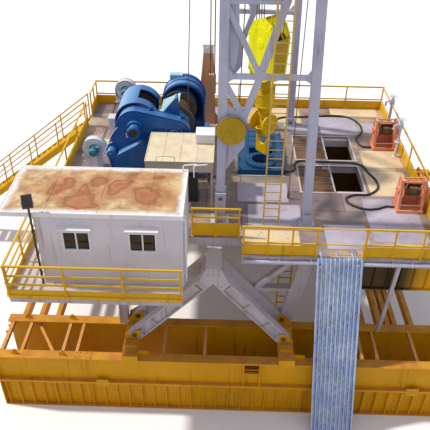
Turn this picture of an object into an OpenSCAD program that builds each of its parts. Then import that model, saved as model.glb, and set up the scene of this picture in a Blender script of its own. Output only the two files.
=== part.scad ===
// Land drilling rig: box-on-box base, raised rig floor and a cantilever mast.
// Sizes are millimetres. The well centre is the rig's own zero: +X points to the pipe side,
// -X to the drawworks, -Y to the cabin and the slide. Ground is z = 0.

/* [Base] */
// Half of the length of the two base boxes
base_half_l = 9000; // [7000:100:11000]
// Height of the base boxes
base_h = 2500; // [1800:50:3200]
// Height of the seam between the lower and the upper box
base_seam = 1300; // [900:50:1600]
// Outer face of the base boxes from the well centre
base_outer_y = 6500; // [6200:50:7500]
// Centre of the inner base girders from the well centre
base_inner_y = 4650; // [4300:50:5000]
// Width of the flanges of the base girders
base_flange_w = 350; // [250:10:450]
// Thickness of the flanges of the base girders
base_flange_t = 45; // [25:5:80]
// Spacing of the web stiffeners
stiffener_pitch = 430; // [300:10:900]

/* [Rig floor] */
// Height of the rig floor over the ground
floor_z = 6300; // [5500:100:8000]
// Pipe side edge of the floor
floor_right = 5650; // [5000:50:6500]
// Drawworks side edge of the floor
floor_left = 7300; // [6800:50:8000]
// Half of the depth of the floor
floor_half = 5400; // [5200:50:6000]
// Front edge beside the cabin, from the well centre
cabin_edge = 4500; // [4300:50:4800]
// Where the front edge steps back to the cabin
step_x = -790; // [-1200:10:-600]
// Thickness of the deck plate
deck_t = 60; // [20:5:100]
// Depth of the floor beams
floor_beam_h = 300; // [200:10:400]
// Width of the floor beams
floor_beam_w = 220; // [150:10:300]

/* [Setback] */
// Opening in the deck beside the well, from x
pit_x0 = 1400; // [1200:50:1800]
// Opening in the deck beside the well, to x
pit_x1 = 3750; // [3200:50:4200]
// Opening in the deck, from y
pit_y0 = -1750; // [-2200:50:-1200]
// Opening in the deck, to y
pit_y1 = 2550; // [2000:50:3200]
// Width of one setback plank
plank_w = 190; // [150:10:300]

/* [Rotary table] */
// Radius of the bore through the rotary table
rotary_bore_r = 349; // [200:1:400]
// Height of the rotary table over the deck
rotary_h = 300; // [200:10:500]
// Half of the width of the rotary table skid
rotary_half_w = 890; // [700:10:1000]
// Front edge of the rotary table skid
rotary_front = 650; // [550:10:800]
// Drive end of the rotary table skid
rotary_back = 2300; // [1500:50:2450]

/* [Mast] */
// Height of the mast over the rig floor
mast_h = 30000; // [24000:500:31000]
// Height of the lowest bay
lower_bay = 4930; // [4500:10:5500]
// Half of the spread of the mast at its feet
mast_half = 3570; // [3300:10:3800]
// Half of the spread of the mast at its top
mast_top_half = 1150; // [900:10:1500]
// Centre line of the drawworks side legs
back_leg_x = -1500; // [-1700:10:-1300]
// Centre line of the pipe side legs at the feet
front_leg_x = 1390; // [1200:10:1600]
// Centre line of the pipe side legs above the second bay
front_leg_top_x = 1080; // [800:10:1300]
// Width of a mast leg
leg_w = 280; // [200:10:350]
// Height of the feet of the drawworks side legs over the floor
leg_foot_h = 750; // [400:50:1200]

/* [Crown and travelling gear] */
// Number of sheaves in the crown and in the travelling block
sheaves = 4; // [3:1:5]
// Radius of the crown sheaves
crown_sheave_r = 560; // [450:10:600]
// Radius of the block sheaves
block_sheave_r = 500; // [400:10:520]
// Radius of the drilling line
line_r = 16; // [12:1:20]
// Height of the bottom of the hook over the floor
hook_h = 660; // [500:10:2000]
// Turn of the hanging block about the well axis
block_turn = -48; // [-90:1:90]

/* [Drawworks] */
// Axis of the main drum, along x
drum_x = -3200; // [-3300:10:-3100]
// Height of the main drum's axis over the floor
drum_z = 1750; // [1700:10:1850]
// Radius of the main drum
drum_r = 380; // [300:10:420]
// Radius of the main drum's flanges
drum_flange_r = 680; // [600:10:700]
// Axis of the sand reel, along x
reel_x = -4600; // [-4700:10:-4550]
// Height of the sand reel's axis over the floor
reel_z = 1980; // [1900:10:2050]
// Front face of the chain case
case_y = -900; // [-950:10:-850]
// Thickness of the chain case
case_t = 420; // [350:10:450]
// Height of the skid
skid_h = 180; // [120:10:250]

/* [Cabin] */
// Wall end beside the well
cabin_right = 2500; // [2300:50:2700]
// Wall end at the porch
cabin_left = 6500; // [6000:50:6800]
// Outer face of the front wall
cabin_front = 6900; // [6700:50:7000]
// Height of the cabin walls
cabin_h = 2420; // [2200:10:2600]
// Thickness of the cabin walls
wall_t = 80; // [50:5:120]
// Thickness of the roof
roof_t = 90; // [60:5:150]
// Edge of the cabin platform and of the roof over the porch
porch_left = 7450; // [7200:50:7800]
// Front edge of the cabin platform
porch_front = 7500; // [7400:50:7800]
// Width of a cabin window
window_w = 740; // [500:10:900]
// Height of a cabin window
window_h = 630; // [400:10:800]
// Sill of the cabin windows over the floor
window_sill = 1240; // [900:10:1400]

/* [Handrails] */
// Height of the handrails
rail_h = 1070; // [1000:10:1200]
// Size of a handrail tube
rail_w = 50; // [40:5:70]
// Height of the toe plates round the floor
toe_h = 380; // [100:10:400]
// Height of the toe plates of the porch
porch_toe_h = 200; // [100:10:250]

/* [Slide] */
// Width of the slide
slide_w = 1370; // [1000:10:1600]
// Centre of the slide
slide_x = 2250; // [2000:10:2500]
// Thickness of the slide's plate
slide_t = 50; // [30:5:80]
// Height of the slide's side flanges
slide_flange = 90; // [60:10:150]
// Number of ribs along the slide
slide_ribs = 9; // [5:1:12]
// Width of a rib
slide_rib_w = 45; // [20:5:60]

/* [Stair] */
// Angle of the stair to the left of the floor
stair_angle = 38; // [35:1:45]
// Width of the stair
stair_w = 850; // [700:10:1000]
// Middle of the stair from the well centre
stair_y = 3500; // [2800:50:4200]

/* [Hidden] */

eps = 1;
// Play between two pieces that touch
seat = 0.3;
$fn = 48;

floor_under = floor_z - deck_t;
beam_under = floor_under - floor_beam_h;
upper_bays = 5;
upper_bay = (mast_h - lower_bay) / upper_bays;
mast_lean = atan((mast_half - mast_top_half) / mast_h);
crown_z = floor_z + mast_h;
crown_beam_h = 450;
crown_axle_z = crown_z + crown_beam_h + crown_sheave_r + 60;
sheave_t = 90;
sheave_pitch = 120;
axle_r = 90;
block_z = floor_z + hook_h + 3900;
pedestal_h = 200;
stair_run = floor_z / tan(stair_angle);
tread_rise = 210;

// The origin is the middle of the whole rig's footprint, on the ground
reach_left = floor_left + stair_run;
reach_right = base_half_l;
reach_front = porch_front;
reach_back = base_outer_y;
well_x = (reach_left - reach_right) / 2;
well_y = (reach_front - reach_back) / 2;

yellow = "#e0a812";
pale = "#b9b6c6";
white = "#e6e4e2";
blue = "#12489c";
orange = "#c9772c";
rope = "#6a5c48";

module place() {
    translate([well_x, well_y, 0]) children();
}

module far_side() {
    mirror([0, 1, 0]) children();
}

module both_sides() {
    children();
    far_side() children();
}

module on_floor() {
    translate([0, 0, floor_z]) children();
}

// A flat bar between two points of a drawing
module bar(a, b, w) {
    translate(a)
        rotate(atan2(b[1] - a[1], b[0] - a[0]))
            translate([0, -w / 2])
                square([norm(b - a), w]);
}

// A drawing in X and Z, given a thickness along Y from y0
module upright_xz(y0, t) {
    translate([0, y0 + t, 0]) rotate([90, 0, 0]) linear_extrude(t) children();
}

// A drawing in Y and Z, given a thickness along X from x0
module upright_yz(x0, t) {
    translate([x0, 0, 0]) rotate([90, 0, 90]) linear_extrude(t) children();
}

// A block between two corners
module block(low, high) {
    translate(low) cube(high - low);
}

// A round rod between two points
module rod(a, b, r, sides = 12) {
    d = b - a;
    translate(a)
        rotate([0, acos(d[2] / norm(d)), atan2(d[1], d[0])])
            cylinder(h = norm(d), r = r, $fn = sides);
}

// Section of a girder that stands on its lower flange, drawn in Y and Z
module girder_section(h, w, t) {
    translate([-w / 2, 0]) square([w, t]);
    translate([-w / 2, h - t]) square([w, t]);
    translate([-t / 2, 0]) square([t, h]);
}

// Base boxes

// The foot holes in the outer girders, where someone can climb up from the ground
step_hole_x = -290;
step_hole_w = 560;
step_hole_h = 420;

module base_outer() {
    count = floor(2 * base_half_l / stiffener_pitch);
    start = -count * stiffener_pitch / 2;
    web_y = -base_outer_y + base_flange_w / 2;
    color(yellow) {
        difference() {
            translate([0, web_y, 0])
                upright_yz(-base_half_l, 2 * base_half_l)
                    girder_section(base_h, base_flange_w, base_flange_t);
            block([step_hole_x - step_hole_w / 2 + 20, web_y - base_flange_t, base_h - 200 - step_hole_h],
                  [step_hole_x + step_hole_w / 2 - 20, web_y + base_flange_t, base_h - 200]);
        }
        block([-base_half_l, -base_outer_y, base_seam - base_flange_t],
              [base_half_l, web_y, base_seam + base_flange_t]);
        for (i = [0:count])
            block([start + i * stiffener_pitch - 15, -base_outer_y + 20, 0],
                  [start + i * stiffener_pitch + 15, web_y, base_seam]);
        for (side = [-1, 1])
            block([side * base_half_l - (side + 1) * 15, -base_outer_y, 0],
                  [side * base_half_l - (side - 1) * 15, web_y + base_flange_w / 2, base_h]);
        for (side = [-1, 1])
            block([step_hole_x + side * step_hole_w / 2 - 15, -base_outer_y + 20, base_seam + base_flange_t],
                  [step_hole_x + side * step_hole_w / 2 + 15, web_y, base_h - base_flange_t]);
    }
}

module base_inner() {
    color(yellow)
        translate([0, -base_inner_y, 0])
            upright_yz(-base_half_l, 2 * base_half_l)
                girder_section(base_h, base_flange_w, base_flange_t);
}

// The struts reach from the web of the outer girder to the web of the inner one
strut_y0 = -base_outer_y + (base_flange_w + base_flange_t) / 2 + seat;
strut_y1 = -base_inner_y - base_flange_t / 2 - seat;
strut_h = 160;
strut_top = base_h - base_flange_t - seat;

// Distances of the cross struts and of the spreaders from the two ends of the base
struts_left = [190, 860, 2260, 2740, 5700, 7100];
struts_right = [500, 2000, 3700, 5030, 5550, 6800];
spreaders_left = [500, 1100, 1700];
spreaders_right = [500, 2100, 3500, 4100, 4350, 4650, 5240];

function from_ends(left, right) = concat([for (d = left) -base_half_l + d], [for (d = right) base_half_l - d]);

pedestal_x = [-4400, 850];

module base_struts() {
    color(orange) {
        for (x = from_ends(struts_left, struts_right)) {
            block([x - 50, strut_y0, strut_top - strut_h], [x + 50, strut_y1, strut_top]);
            block([x - 50, strut_y0, base_flange_t + seat], [x + 50, strut_y1, base_flange_t + strut_h]);
        }
        translate([0, 0, base_h - 330])
            linear_extrude(100)
                intersection() {
                    bar([-base_half_l + 1000, strut_y1 + 100], [-base_half_l + 2130, strut_y0 - 100], 90);
                    translate([-base_half_l, strut_y0]) square([2 * base_half_l, strut_y1 - strut_y0]);
                }
        for (x = pedestal_x)
            block([x - 250, -base_outer_y + 30, base_h], [x + 250, -base_inner_y + 150, base_h + pedestal_h]);
    }
}

spreader_y1 = base_inner_y - base_flange_t / 2 - seat;

module base_spreaders() {
    color(yellow)
        for (x = from_ends(spreaders_left, spreaders_right))
            block([x - 80, -spreader_y1, strut_top - 350], [x + 80, spreader_y1, strut_top]);
}

ladder_half_w = 215;
cellar_ladder_x = 860;

module cellar_ladder() {
    top = floor_under - 100;
    y1 = -mast_half - floor_beam_w / 2 - seat;
    rung = 300;
    color(yellow) {
        for (side = [-1, 1])
            block([cellar_ladder_x + side * ladder_half_w - 25, y1 - 60, 0],
                  [cellar_ladder_x + side * ladder_half_w + 25, y1, top]);
        for (z = [rung:rung:top - 50])
            block([cellar_ladder_x - ladder_half_w, y1 - 45, z], [cellar_ladder_x + ladder_half_w, y1 - 15, z + 30]);
    }
}

// Legs under the floor

apex = [-1650, beam_under - 300];
foot_left = [pedestal_x[0], base_h + pedestal_h];
foot_right = [pedestal_x[1], base_h + pedestal_h];

module leg_frame(w) {
    intersection() {
        union() {
            bar(apex, foot_left, w);
            bar(apex, foot_right, w);
            bar(apex, [apex[0], beam_under + w], w);
        }
        translate([-floor_left, foot_left[1]])
            square([floor_left + floor_right, beam_under - foot_left[1]]);
    }
}

legs_outer_y = -5700;
legs_outer_t = 300;
legs_inner_t = 250;
header_h = 330;

module header(y0, y1) {
    block([apex[0] - 250, y0, beam_under - header_h], [apex[0] + 250, y1, beam_under]);
}

// Where the leg's web lies back between its two flanges
prop_x = 4140;

module leg_pocket(foot, w) {
    along = foot - apex;
    bar(apex + along * 0.16, apex + along * 0.9, w);
}

module legs_outer() {
    pocket = 90;
    color(pale) {
        difference() {
            upright_xz(legs_outer_y, legs_outer_t) leg_frame(430);
            upright_xz(legs_outer_y - eps, pocket + eps) {
                leg_pocket(foot_left, 340);
                leg_pocket(foot_right, 340);
            }
        }
        header(legs_outer_y, -base_inner_y - legs_inner_t / 2);
        // The leaning prop of the floor's corner
        upright_yz(prop_x, 120)
            intersection() {
                bar([-floor_half + 60, floor_z], [-base_inner_y - 110, base_h - 400], 110);
                translate([-floor_half, base_h]) square([floor_half, beam_under - base_h]);
            }
    }
}

module legs_inner() {
    knee = [-250, 4300];
    color(pale) {
        header(-base_inner_y, -mast_half + 200);
        upright_xz(-base_inner_y - legs_inner_t / 2, legs_inner_t) {
            leg_frame(400);
            intersection() {
                union() {
                    bar(foot_right, [1500, beam_under], 470);
                    bar([1300, beam_under], knee, 160);
                    bar(knee, [1100, knee[1]], 120);
                }
                translate([-floor_left, foot_right[1]])
                    square([2 * floor_left, beam_under - foot_right[1]]);
            }
        }
        for (x = [-4820, 2900])
            block([x - 150, -base_inner_y - legs_inner_t / 2, base_h],
                  [x + 150, -base_inner_y + legs_inner_t / 2, beam_under]);
    }
}

// The two openings of the pit, from y to y, with a strip of deck between them
pit_strip = [150, 570];
pit_beam_y = (pit_strip[0] + pit_strip[1]) / 2;
plank_end = 2600;
girder_x0 = 3150;
girder_h = 1300;
girder_y = -floor_half + 480;

// The deep girders round the pit hang under the floor beams
pit_girder_x = [plank_end - 90, pit_x1 + 120];
pit_girder_t = 60;

module pit_girders() {
    half = pit_girder_t / 2;
    y = [pit_y0 + 90, pit_beam_y, pit_y1 - 90];
    for (x = pit_girder_x)
        block([x - half, y[0] - half, beam_under - girder_h], [x + half, y[2] + half, beam_under - seat]);
    for (y0 = y)
        block([pit_girder_x[0] + half + seat, y0 - half, beam_under - girder_h],
              [pit_girder_x[1] - half - seat, y0 + half, beam_under - seat]);
}

module setback_girder() {
    x1 = floor_right - 110;
    web_t = 30;
    flange = 180;
    color(yellow) {
        pit_girders();
        translate([0, girder_y, beam_under - girder_h])
            upright_yz(girder_x0, x1 - girder_x0)
                girder_section(girder_h, flange, 40);
        for (x = [girder_x0:stiffener_pitch:x1 - web_t])
            block([x, girder_y - flange / 2, beam_under - girder_h + 20], [x + 20, girder_y, beam_under - 20]);
    }
}

// Rig floor

beam_xs = [-floor_left + floor_beam_w / 2, -5000, -2900, step_x + floor_beam_w / 2, pit_x0 - 50, plank_end - 90, pit_x1 + 120,
           floor_right - floor_beam_w / 2];

module floor_outline() {
    difference() {
        translate([-floor_left, -floor_half])
            square([floor_left + floor_right, 2 * floor_half]);
        translate([-floor_left - eps, -floor_half - eps])
            square([floor_left + step_x + eps, floor_half - cabin_edge + eps]);
    }
}

pits = [[pit_y0, pit_strip[0]], [pit_strip[1], pit_y1]];

module floor_frame() {
    w = floor_beam_w;
    color(pale)
        translate([0, 0, beam_under])
            linear_extrude(floor_beam_h)
                intersection() {
                    floor_outline();
                    union() {
                        for (y = [-floor_half + w / 2, -cabin_edge + w / 2, floor_half - w / 2])
                            translate([-floor_left, y - w / 2]) square([floor_left + floor_right, w]);
                        for (x = beam_xs)
                            translate([x - w / 2, -floor_half]) square([w, 2 * floor_half]);
                        for (y = [-base_inner_y, -mast_half, pit_y0 + 90, pit_beam_y, pit_y1 - 90, mast_half, base_inner_y])
                            translate([-floor_left, y - w / 2]) square([floor_left + floor_right, w]);
                    }
                }
}

module floor_deck() {
    color("#c9a07a")
        translate([0, 0, floor_under])
            linear_extrude(deck_t)
                difference() {
                    floor_outline();
                    for (p = pits)
                        translate([pit_x0, p[0]]) square([pit_x1 - pit_x0, p[1] - p[0]]);
                    circle(r = rotary_bore_r + 150);
                }
}

module setback_planks() {
    gap = 15;
    color("#7a5632")
        for (p = pits) {
            count = floor((p[1] - p[0] - gap) / plank_w);
            for (i = [0:count - 1])
                block([pit_x0 + seat, p[0] + gap + i * plank_w, floor_under],
                      [plank_end - (i % 3) * 20, p[0] + (i + 1) * plank_w, floor_z - 5]);
        }
}

module rotary_table() {
    color(blue)
        on_floor()
            difference() {
                union() {
                    block([-rotary_half_w, -rotary_front, 0], [rotary_half_w, rotary_back, rotary_h - 80]);
                    translate([0, 0, rotary_h - 80]) cylinder(h = 80, r = rotary_front - 60);
                    block([-450, rotary_front, rotary_h - 80], [450, rotary_back - 100, rotary_h + 160]);
                }
                translate([0, 0, -eps]) cylinder(h = rotary_h + 2 * eps, r = rotary_bore_r);
            }
}

// Mast

function front_x(z) = z > lower_bay + upper_bay ? front_leg_top_x
    : front_leg_x + (front_leg_top_x - front_leg_x) * z / (lower_bay + upper_bay);
levels = [for (i = [0:upper_bays]) lower_bay + i * upper_bay];
boot = [back_leg_x + 660, 3660];
brace_w = 160;
node_x = back_leg_x + 1090;

// Heights along the leaning side of the mast
function up(z) = z / cos(mast_lean);

module mast_side_bracing() {
    for (z = levels)
        bar([back_leg_x, up(z)], [front_x(z), up(z)], 150);
    for (i = [0:upper_bays - 1]) {
        z0 = up(levels[i]);
        z1 = up(levels[i + 1]);
        x1 = front_x(levels[i + 1]);
        mid = (z0 + z1) / 2 - 400;
        bar([node_x, z0], [x1, z1], 220);
        bar([node_x, z0], [back_leg_x, mid + 30], brace_w);
        bar([back_leg_x, mid], [node_x + (x1 - node_x) * 0.42, mid], 110);
        bar([back_leg_x, mid + 190], [node_x + (x1 - node_x) * 0.46, mid + 190], 110);
    }
    bar([node_x, up(lower_bay)], boot, 200);
    bar([back_leg_x, up(lower_bay) - 100], boot, 180);
    polygon([boot + [-660, 500], boot + [60, 60], boot + [60, -900], [back_leg_x, leg_foot_h + 950]]);
}

module mast_side_legs() {
    bend = lower_bay + upper_bay;
    bar([back_leg_x, 0], [back_leg_x, up(mast_h) + leg_w], leg_w);
    bar([front_leg_x, 0], [front_leg_top_x, up(bend)], leg_w);
    bar([front_leg_top_x, up(bend)], [front_leg_top_x, up(mast_h) + leg_w], leg_w);
}

shoe_t = 60;

module mast_side() {
    reach = 2 * mast_half;
    color(pale)
        intersection() {
            translate([0, -mast_half, floor_z])
                rotate([90 - mast_lean, 0, 0]) {
                    translate([0, 0, -leg_w / 2]) linear_extrude(leg_w) mast_side_legs();
                    translate([0, 0, -70]) linear_extrude(140) mast_side_bracing();
                }
            union() {
                block([-reach, -reach, floor_z + leg_foot_h], [0, 0, crown_z]);
                block([-eps, -reach, floor_z + shoe_t], [reach, 0, crown_z]);
            }
        }
}

// The tapered plate behind the lower bracing, from the second bay to the first
module mast_plate() {
    x0 = back_leg_x + leg_w / 2 + seat;
    color(pale)
        translate([0, -mast_half, floor_z])
            rotate([90 - mast_lean, 0, 0])
                translate([0, 0, -70 - seat - 40])
                    linear_extrude(40)
                        polygon([[x0, up(lower_bay) + 100], [x0 + 170, up(lower_bay) - 20], [x0 + 310, up(lower_bay) + 900],
                                 [x0 + 260, up(lower_bay) + 2250], [x0, up(lower_bay) + 2250]]);
}

function mast_y(z) = mast_half + (mast_top_half - mast_half) * z / mast_h;

module mast_back_bracing() {
    inset = leg_w / 2 / cos(mast_lean) + seat;
    bottom = mast_half - inset;
    top = mast_top_half - inset;
    color(pale)
        on_floor()
            upright_yz(back_leg_x - 70, 140)
                intersection() {
                    polygon([[-bottom, 0], [bottom, 0], [top, mast_h], [-top, mast_h]]);
                    union() {
                        for (z = levels)
                            bar([-mast_half, z], [mast_half, z], 150);
                        for (i = [0:upper_bays - 1])
                            for (s = [-1, 1])
                                bar([s * mast_y(levels[i]), levels[i]], [0, levels[i + 1]], brace_w);
                        for (s = [-1, 1])
                            bar([s * mast_y(lower_bay - 1300), lower_bay - 1300], [s * 1600, lower_bay], brace_w);
                    }
                }
}

// The ears that take the pin of a mast foot
module foot_ears(z, half_w, h) {
    ear = leg_w / 2 + 50;
    for (e = [-1, 1])
        block([-half_w, e * (ear + 20) - 20, z], [half_w, e * (ear + 20) + 20, z + h]);
}

module mast_shoes() {
    color(pale)
        for (s = [-1, 1])
            translate([front_leg_x, s * mast_y(shoe_t), floor_z]) {
                block([-260, -260, 0], [260, 260, shoe_t]);
                foot_ears(shoe_t, 170, 340);
            }
}

module mast_pedestals() {
    color(pale)
        for (s = [-1, 1])
            translate([back_leg_x, s * mast_y(leg_foot_h), floor_z]) {
                block([-180, -240, 0], [180, 240, leg_foot_h]);
                foot_ears(leg_foot_h, 180, 400);
            }
}

ladder_x = 190;
ladder_half = 250;
rung_pitch = 300;

module mast_ladder() {
    count = floor((mast_h - 600) / rung_pitch);
    back = -205;
    color(yellow)
        intersection() {
            translate([ladder_x, -mast_half, floor_z])
                rotate([-mast_lean, 0, 0]) {
                    for (s = [-1, 1])
                        block([s * ladder_half - 25, back - 40, -200], [s * ladder_half + 25, back, mast_h]);
                    for (i = [1:count])
                        block([-ladder_half, back - 35, i * rung_pitch], [ladder_half, back - 10, i * rung_pitch + 25]);
                    for (z = levels)
                        for (s = [-1, 1])
                            block([s * ladder_half - 20, back, up(z) - 20], [s * ladder_half + 20, -70 - seat, up(z) + 20]);
                }
            block([-floor_left, -floor_half, floor_z], [floor_right, floor_half, crown_z - seat]);
        }
}

board_z = 17500;
board_x0 = front_leg_top_x + 160;
board_depth = 2300;
board_half = 2300;

module racking_board() {
    y_mast = mast_y(board_z);
    fingers = 7;
    finger_l = 1500;
    color(yellow)
        translate([0, 0, floor_z + board_z]) {
            both_sides() {
                block([board_x0, board_half - 60, 0], [board_x0 + board_depth, board_half + 60, 120]);
                block([front_leg_top_x + leg_w / 2, y_mast - 60, -120], [board_x0 + 900, y_mast + 60, 0]);
                for (i = [0:fingers - 1])
                    block([board_x0 + 350 + i * 260, board_half - finger_l, 20],
                          [board_x0 + 410 + i * 260, board_half, 100]);
            }
            block([board_x0, -board_half, 0], [board_x0 + 120, board_half, 120]);
            block([board_x0, -350, 120], [board_x0 + 1900, 350, 160]);
            block([board_x0 + board_depth - 120, -board_half, 0], [board_x0 + board_depth, board_half, 120]);
        }
}

// Crown, block and lines

module crown_frame() {
    x0 = back_leg_x - 800;
    x1 = front_leg_top_x + 500;
    y1 = mast_top_half + 450;
    color(pale)
        translate([0, 0, crown_z]) {
            for (s = [-1, 1])
                block([x0, s * 620 - 110, 60], [x1, s * 620 + 110, crown_beam_h]);
            difference() {
                block([x0, -y1, 0], [x1, y1, 60]);
                block([-750, -510, -eps], [750, 510, 60 + eps]);
                block([x0 + 200, -510, -eps], [back_leg_x - 80, 510, 60 + eps]);
            }
        }
    color(yellow)
        translate([0, 0, crown_z + 60]) {
            for (s = [-1, 1])
                rail_x(x0 + 30, x1 - 30, s * (y1 - 30), 4, 60);
            rail_y(-y1 + 30, y1 - 30, x0 + 30, 3, 60);
            rail_y(-y1 + 30, y1 - 30, x1 - 30, 3, 60);
        }
}

groove = 48;

module sheave(r, t) {
    rotate_extrude()
        polygon([[axle_r, -t / 2], [r, -t / 2], [r - groove, -t / 6],
                 [r - groove, t / 6], [r, t / 2], [axle_r, t / 2]]);
}

fast_y = 200;
fast_sheave_x = -1400;

module axle(half_l) {
    rotate([90, 0, 0]) translate([0, 0, -half_l]) cylinder(h = 2 * half_l, r = axle_r);
}

module sheave_row(ys, r) {
    for (y = ys)
        translate([0, y, 0]) rotate([90, 0, 0]) sheave(r, sheave_t);
}

block_ys = [for (i = [0:sheaves - 1]) (i - (sheaves - 1) / 2) * sheave_pitch];
dead_y = block_ys[0] - sheave_pitch;
bearing_y = 540;

module crown_sheaves() {
    color("#8a8378")
        translate([0, 0, crown_axle_z]) {
            sheave_row(concat([dead_y], block_ys), crown_sheave_r);
            axle(bearing_y);
            translate([fast_sheave_x, 0, 0]) {
                sheave_row([fast_y], crown_sheave_r);
                axle(bearing_y);
            }
            for (x = [0, fast_sheave_x])
                for (s = [-1, 1])
                    block([x - 130, s * bearing_y - 30, crown_z + crown_beam_h - crown_axle_z],
                          [x + 130, s * bearing_y + 30, 150]);
        }
}

block_half = 330;

module block_outline() {
    polygon([[-640, 560], [-420, 1000], [0, 1180], [420, 1000], [640, 560],
             [560, -700], [240, -980], [-240, -980], [-560, -700]]);
}

module block_housing() {
    color(yellow)
        translate([0, 0, block_z])
            rotate([0, 0, block_turn]) {
                for (s = [-1, 1])
                    upright_xz(s * block_half - 35, 70)
                        difference() {
                            block_outline();
                            translate([0, 350]) circle(r = axle_r + seat);
                        }
                block([-560, -block_half + 35, -900], [-470, block_half - 35, -260]);
                block([470, -block_half + 35, -900], [560, block_half - 35, -260]);
                block([-240, -block_half + 35, -980], [240, block_half - 35, -860]);
            }
}

module block_sheaves() {
    color("#a8885c")
        translate([0, 0, block_z + 350])
            rotate([0, 0, block_turn]) {
                sheave_row(block_ys, block_sheave_r);
                axle(block_half + 60);
            }
}

hook_axis_top = block_z - 980;

shank_r = 110;
shank_l = 300;
swivel_gap = 0.3;

module hook_body() {
    color(yellow)
        translate([0, 0, hook_axis_top])
            rotate([0, 0, block_turn])
                difference() {
                    union() {
                        block([-170, -60, -500], [170, 60, -seat]);
                        translate([0, 0, -1050]) cylinder(h = 560, r = 330);
                        translate([0, 0, -1250]) cylinder(h = 200, r = 240);
                    }
                    translate([0, 0, -1250 - eps]) cylinder(h = shank_l + 5 + eps, r = shank_r + swivel_gap);
                }
}

module hook_swivel() {
    top = hook_axis_top - 1255;
    bottom = floor_z + hook_h;
    color(yellow)
        translate([0, 0, bottom])
            rotate([0, 0, block_turn]) {
                translate([0, 0, top - bottom - 200]) cylinder(h = 200, r = 200);
                translate([0, 0, top - bottom - 200]) cylinder(h = 200 + shank_l, r = shank_r);
                upright_xz(-70, 140)
                    difference() {
                        translate([-260, 0]) square([520, top - bottom - 190]);
                        translate([0, 520]) circle(r = 190);
                        translate([60, 480]) square([300, 260]);
                    }
            }
}

function turned(p, a) = [p[0] * cos(a) - p[1] * sin(a), p[0] * sin(a) + p[1] * cos(a)];
line_bottom = block_z + 350;
line_top = crown_axle_z;

module drilling_lines() {
    r0 = block_sheave_r - groove + line_r + seat;
    r1 = crown_sheave_r - groove + line_r + seat;
    color(rope)
        for (y = block_ys)
            for (s = [-1, 1]) {
                a = turned([s * r0, y], block_turn);
                rod([a[0], a[1], line_bottom], [s * r1, y, line_top], line_r, 8);
            }
}

fast_foot = [drum_x + drum_r + line_r + 2 * seat, fast_y, floor_z + drum_z];
fast_head = [fast_sheave_x - crown_sheave_r + groove - line_r - seat, fast_y, crown_axle_z];

module fast_line() {
    color(rope) rod(fast_foot, fast_head, line_r, 8);
}

anchor_x = -1210;
anchor_h = 3310;
anchor_r = 450;
clamp_h = 2900;
clamp_x = -1000;
clamp_t = 160;
side_face = 70 + seat;

// A point on the leaning near side: x, height along the slope, distance outwards
function on_side(x, h, out) = [x, -mast_half + h * sin(mast_lean) - out * cos(mast_lean),
                               floor_z + h * cos(mast_lean) + out * sin(mast_lean)];

dead_head = [-crown_sheave_r + groove - line_r - seat, dead_y, crown_axle_z];
dead_foot = on_side(clamp_x, clamp_h + 0.8, -side_face - clamp_t / 2);

module dead_line() {
    color(rope) rod(dead_foot, dead_head, line_r, 8);
}

// The anchor's wheel and its clamp sit on both sides of the plate on the leg
module deadline_anchor() {
    color(yellow)
        translate([0, -mast_half, floor_z])
            rotate([90 - mast_lean, 0, 0]) {
                translate([anchor_x, up(anchor_h), 0]) {
                    translate([0, 0, leg_w / 2 + 60]) cylinder(h = 90, r = anchor_r);
                    translate([0, 0, leg_w / 2 + 140]) cylinder(h = 40, r = anchor_r * 0.4);
                    translate([100, 0, side_face]) cylinder(h = leg_w / 2 + 60 - side_face, r = 110);
                }
                block([clamp_x - 90, clamp_h - 300, -side_face - clamp_t], [clamp_x + 90, clamp_h, -side_face]);
            }
}

tugger_line_x = 890;
tugger_line_y = -2180;

// The winch line hangs from a bracket on the inner face of the near front leg
module tugger_line() {
    top = levels[2];
    leg_face = front_leg_top_x - leg_w / 2 - seat;
    translate([0, tugger_line_y, floor_z]) {
        rod([tugger_line_x, 0, 250], [tugger_line_x, 0, top - 100], 15, 8);
        rod([tugger_line_x, 0, 60], [tugger_line_x, 0, 260], 45, 12);
        block([tugger_line_x - 30, -100, top - 120], [leg_face, 50, top - 40]);
    }
}

module hoist_lines() {
    color("#b08a5c") tugger_line();
    color("#b08a5c")
        for (p = [[-2050, 2900], [-1880, 2900]])
            rod([p[0], p[1], floor_z + 2500], [p[0], p[1], crown_z], 22, 8);
}

// Machinery on the floor

drum_y0 = 0;
drum_y1 = 1350;
reel_y1 = 950;
shaft_r = 100;
case_back = case_y + case_t;
cover_r = 780;
cover_t = 50;
cover_y1 = 1100;
brake_x = -3050;
brake_z = 1850;
brake_r = 820;
brake_y0 = 1450;
brake_y1 = 2500;
body_x1 = -4120;
body_z = 1350;

module drawworks_skid() {
    color(blue)
        on_floor() {
            block([-5700, case_y - 50, 0], [-2100, 3200, skid_h]);
            block([-5700, case_y - 450, 0], [-4060, case_y - 50, skid_h]);
        }
}

module drawworks_chain_case() {
    color(blue)
        on_floor()
            difference() {
                union() {
                    upright_xz(case_y, case_t)
                        hull() {
                            translate([reel_x, reel_z]) circle(r = 640);
                            translate([-5350, 1000]) circle(r = 330);
                            translate([drum_x, drum_z]) circle(r = 560);
                            translate([-5500, skid_h]) square([2900, 100]);
                        }
                    upright_xz(case_y - 400, 400)
                        hull() {
                            translate([-5060, 900]) circle(r = 230);
                            translate([-4330, 1330]) circle(r = 230);
                            translate([-5290, skid_h]) square([1190, 50]);
                        }
                    translate([reel_x, case_y, reel_z]) rotate([90, 0, 0]) {
                        cylinder(h = 100, r = 290);
                        cylinder(h = 400, r = 190);
                    }
                    translate([-5470, case_y, 1050]) rotate([90, 0, 0]) cylinder(h = 280, r = 180);
                }
                translate([reel_x, case_y - 401, reel_z]) rotate([-90, 0, 0]) cylinder(h = 300, r = 110);
            }
}

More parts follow.
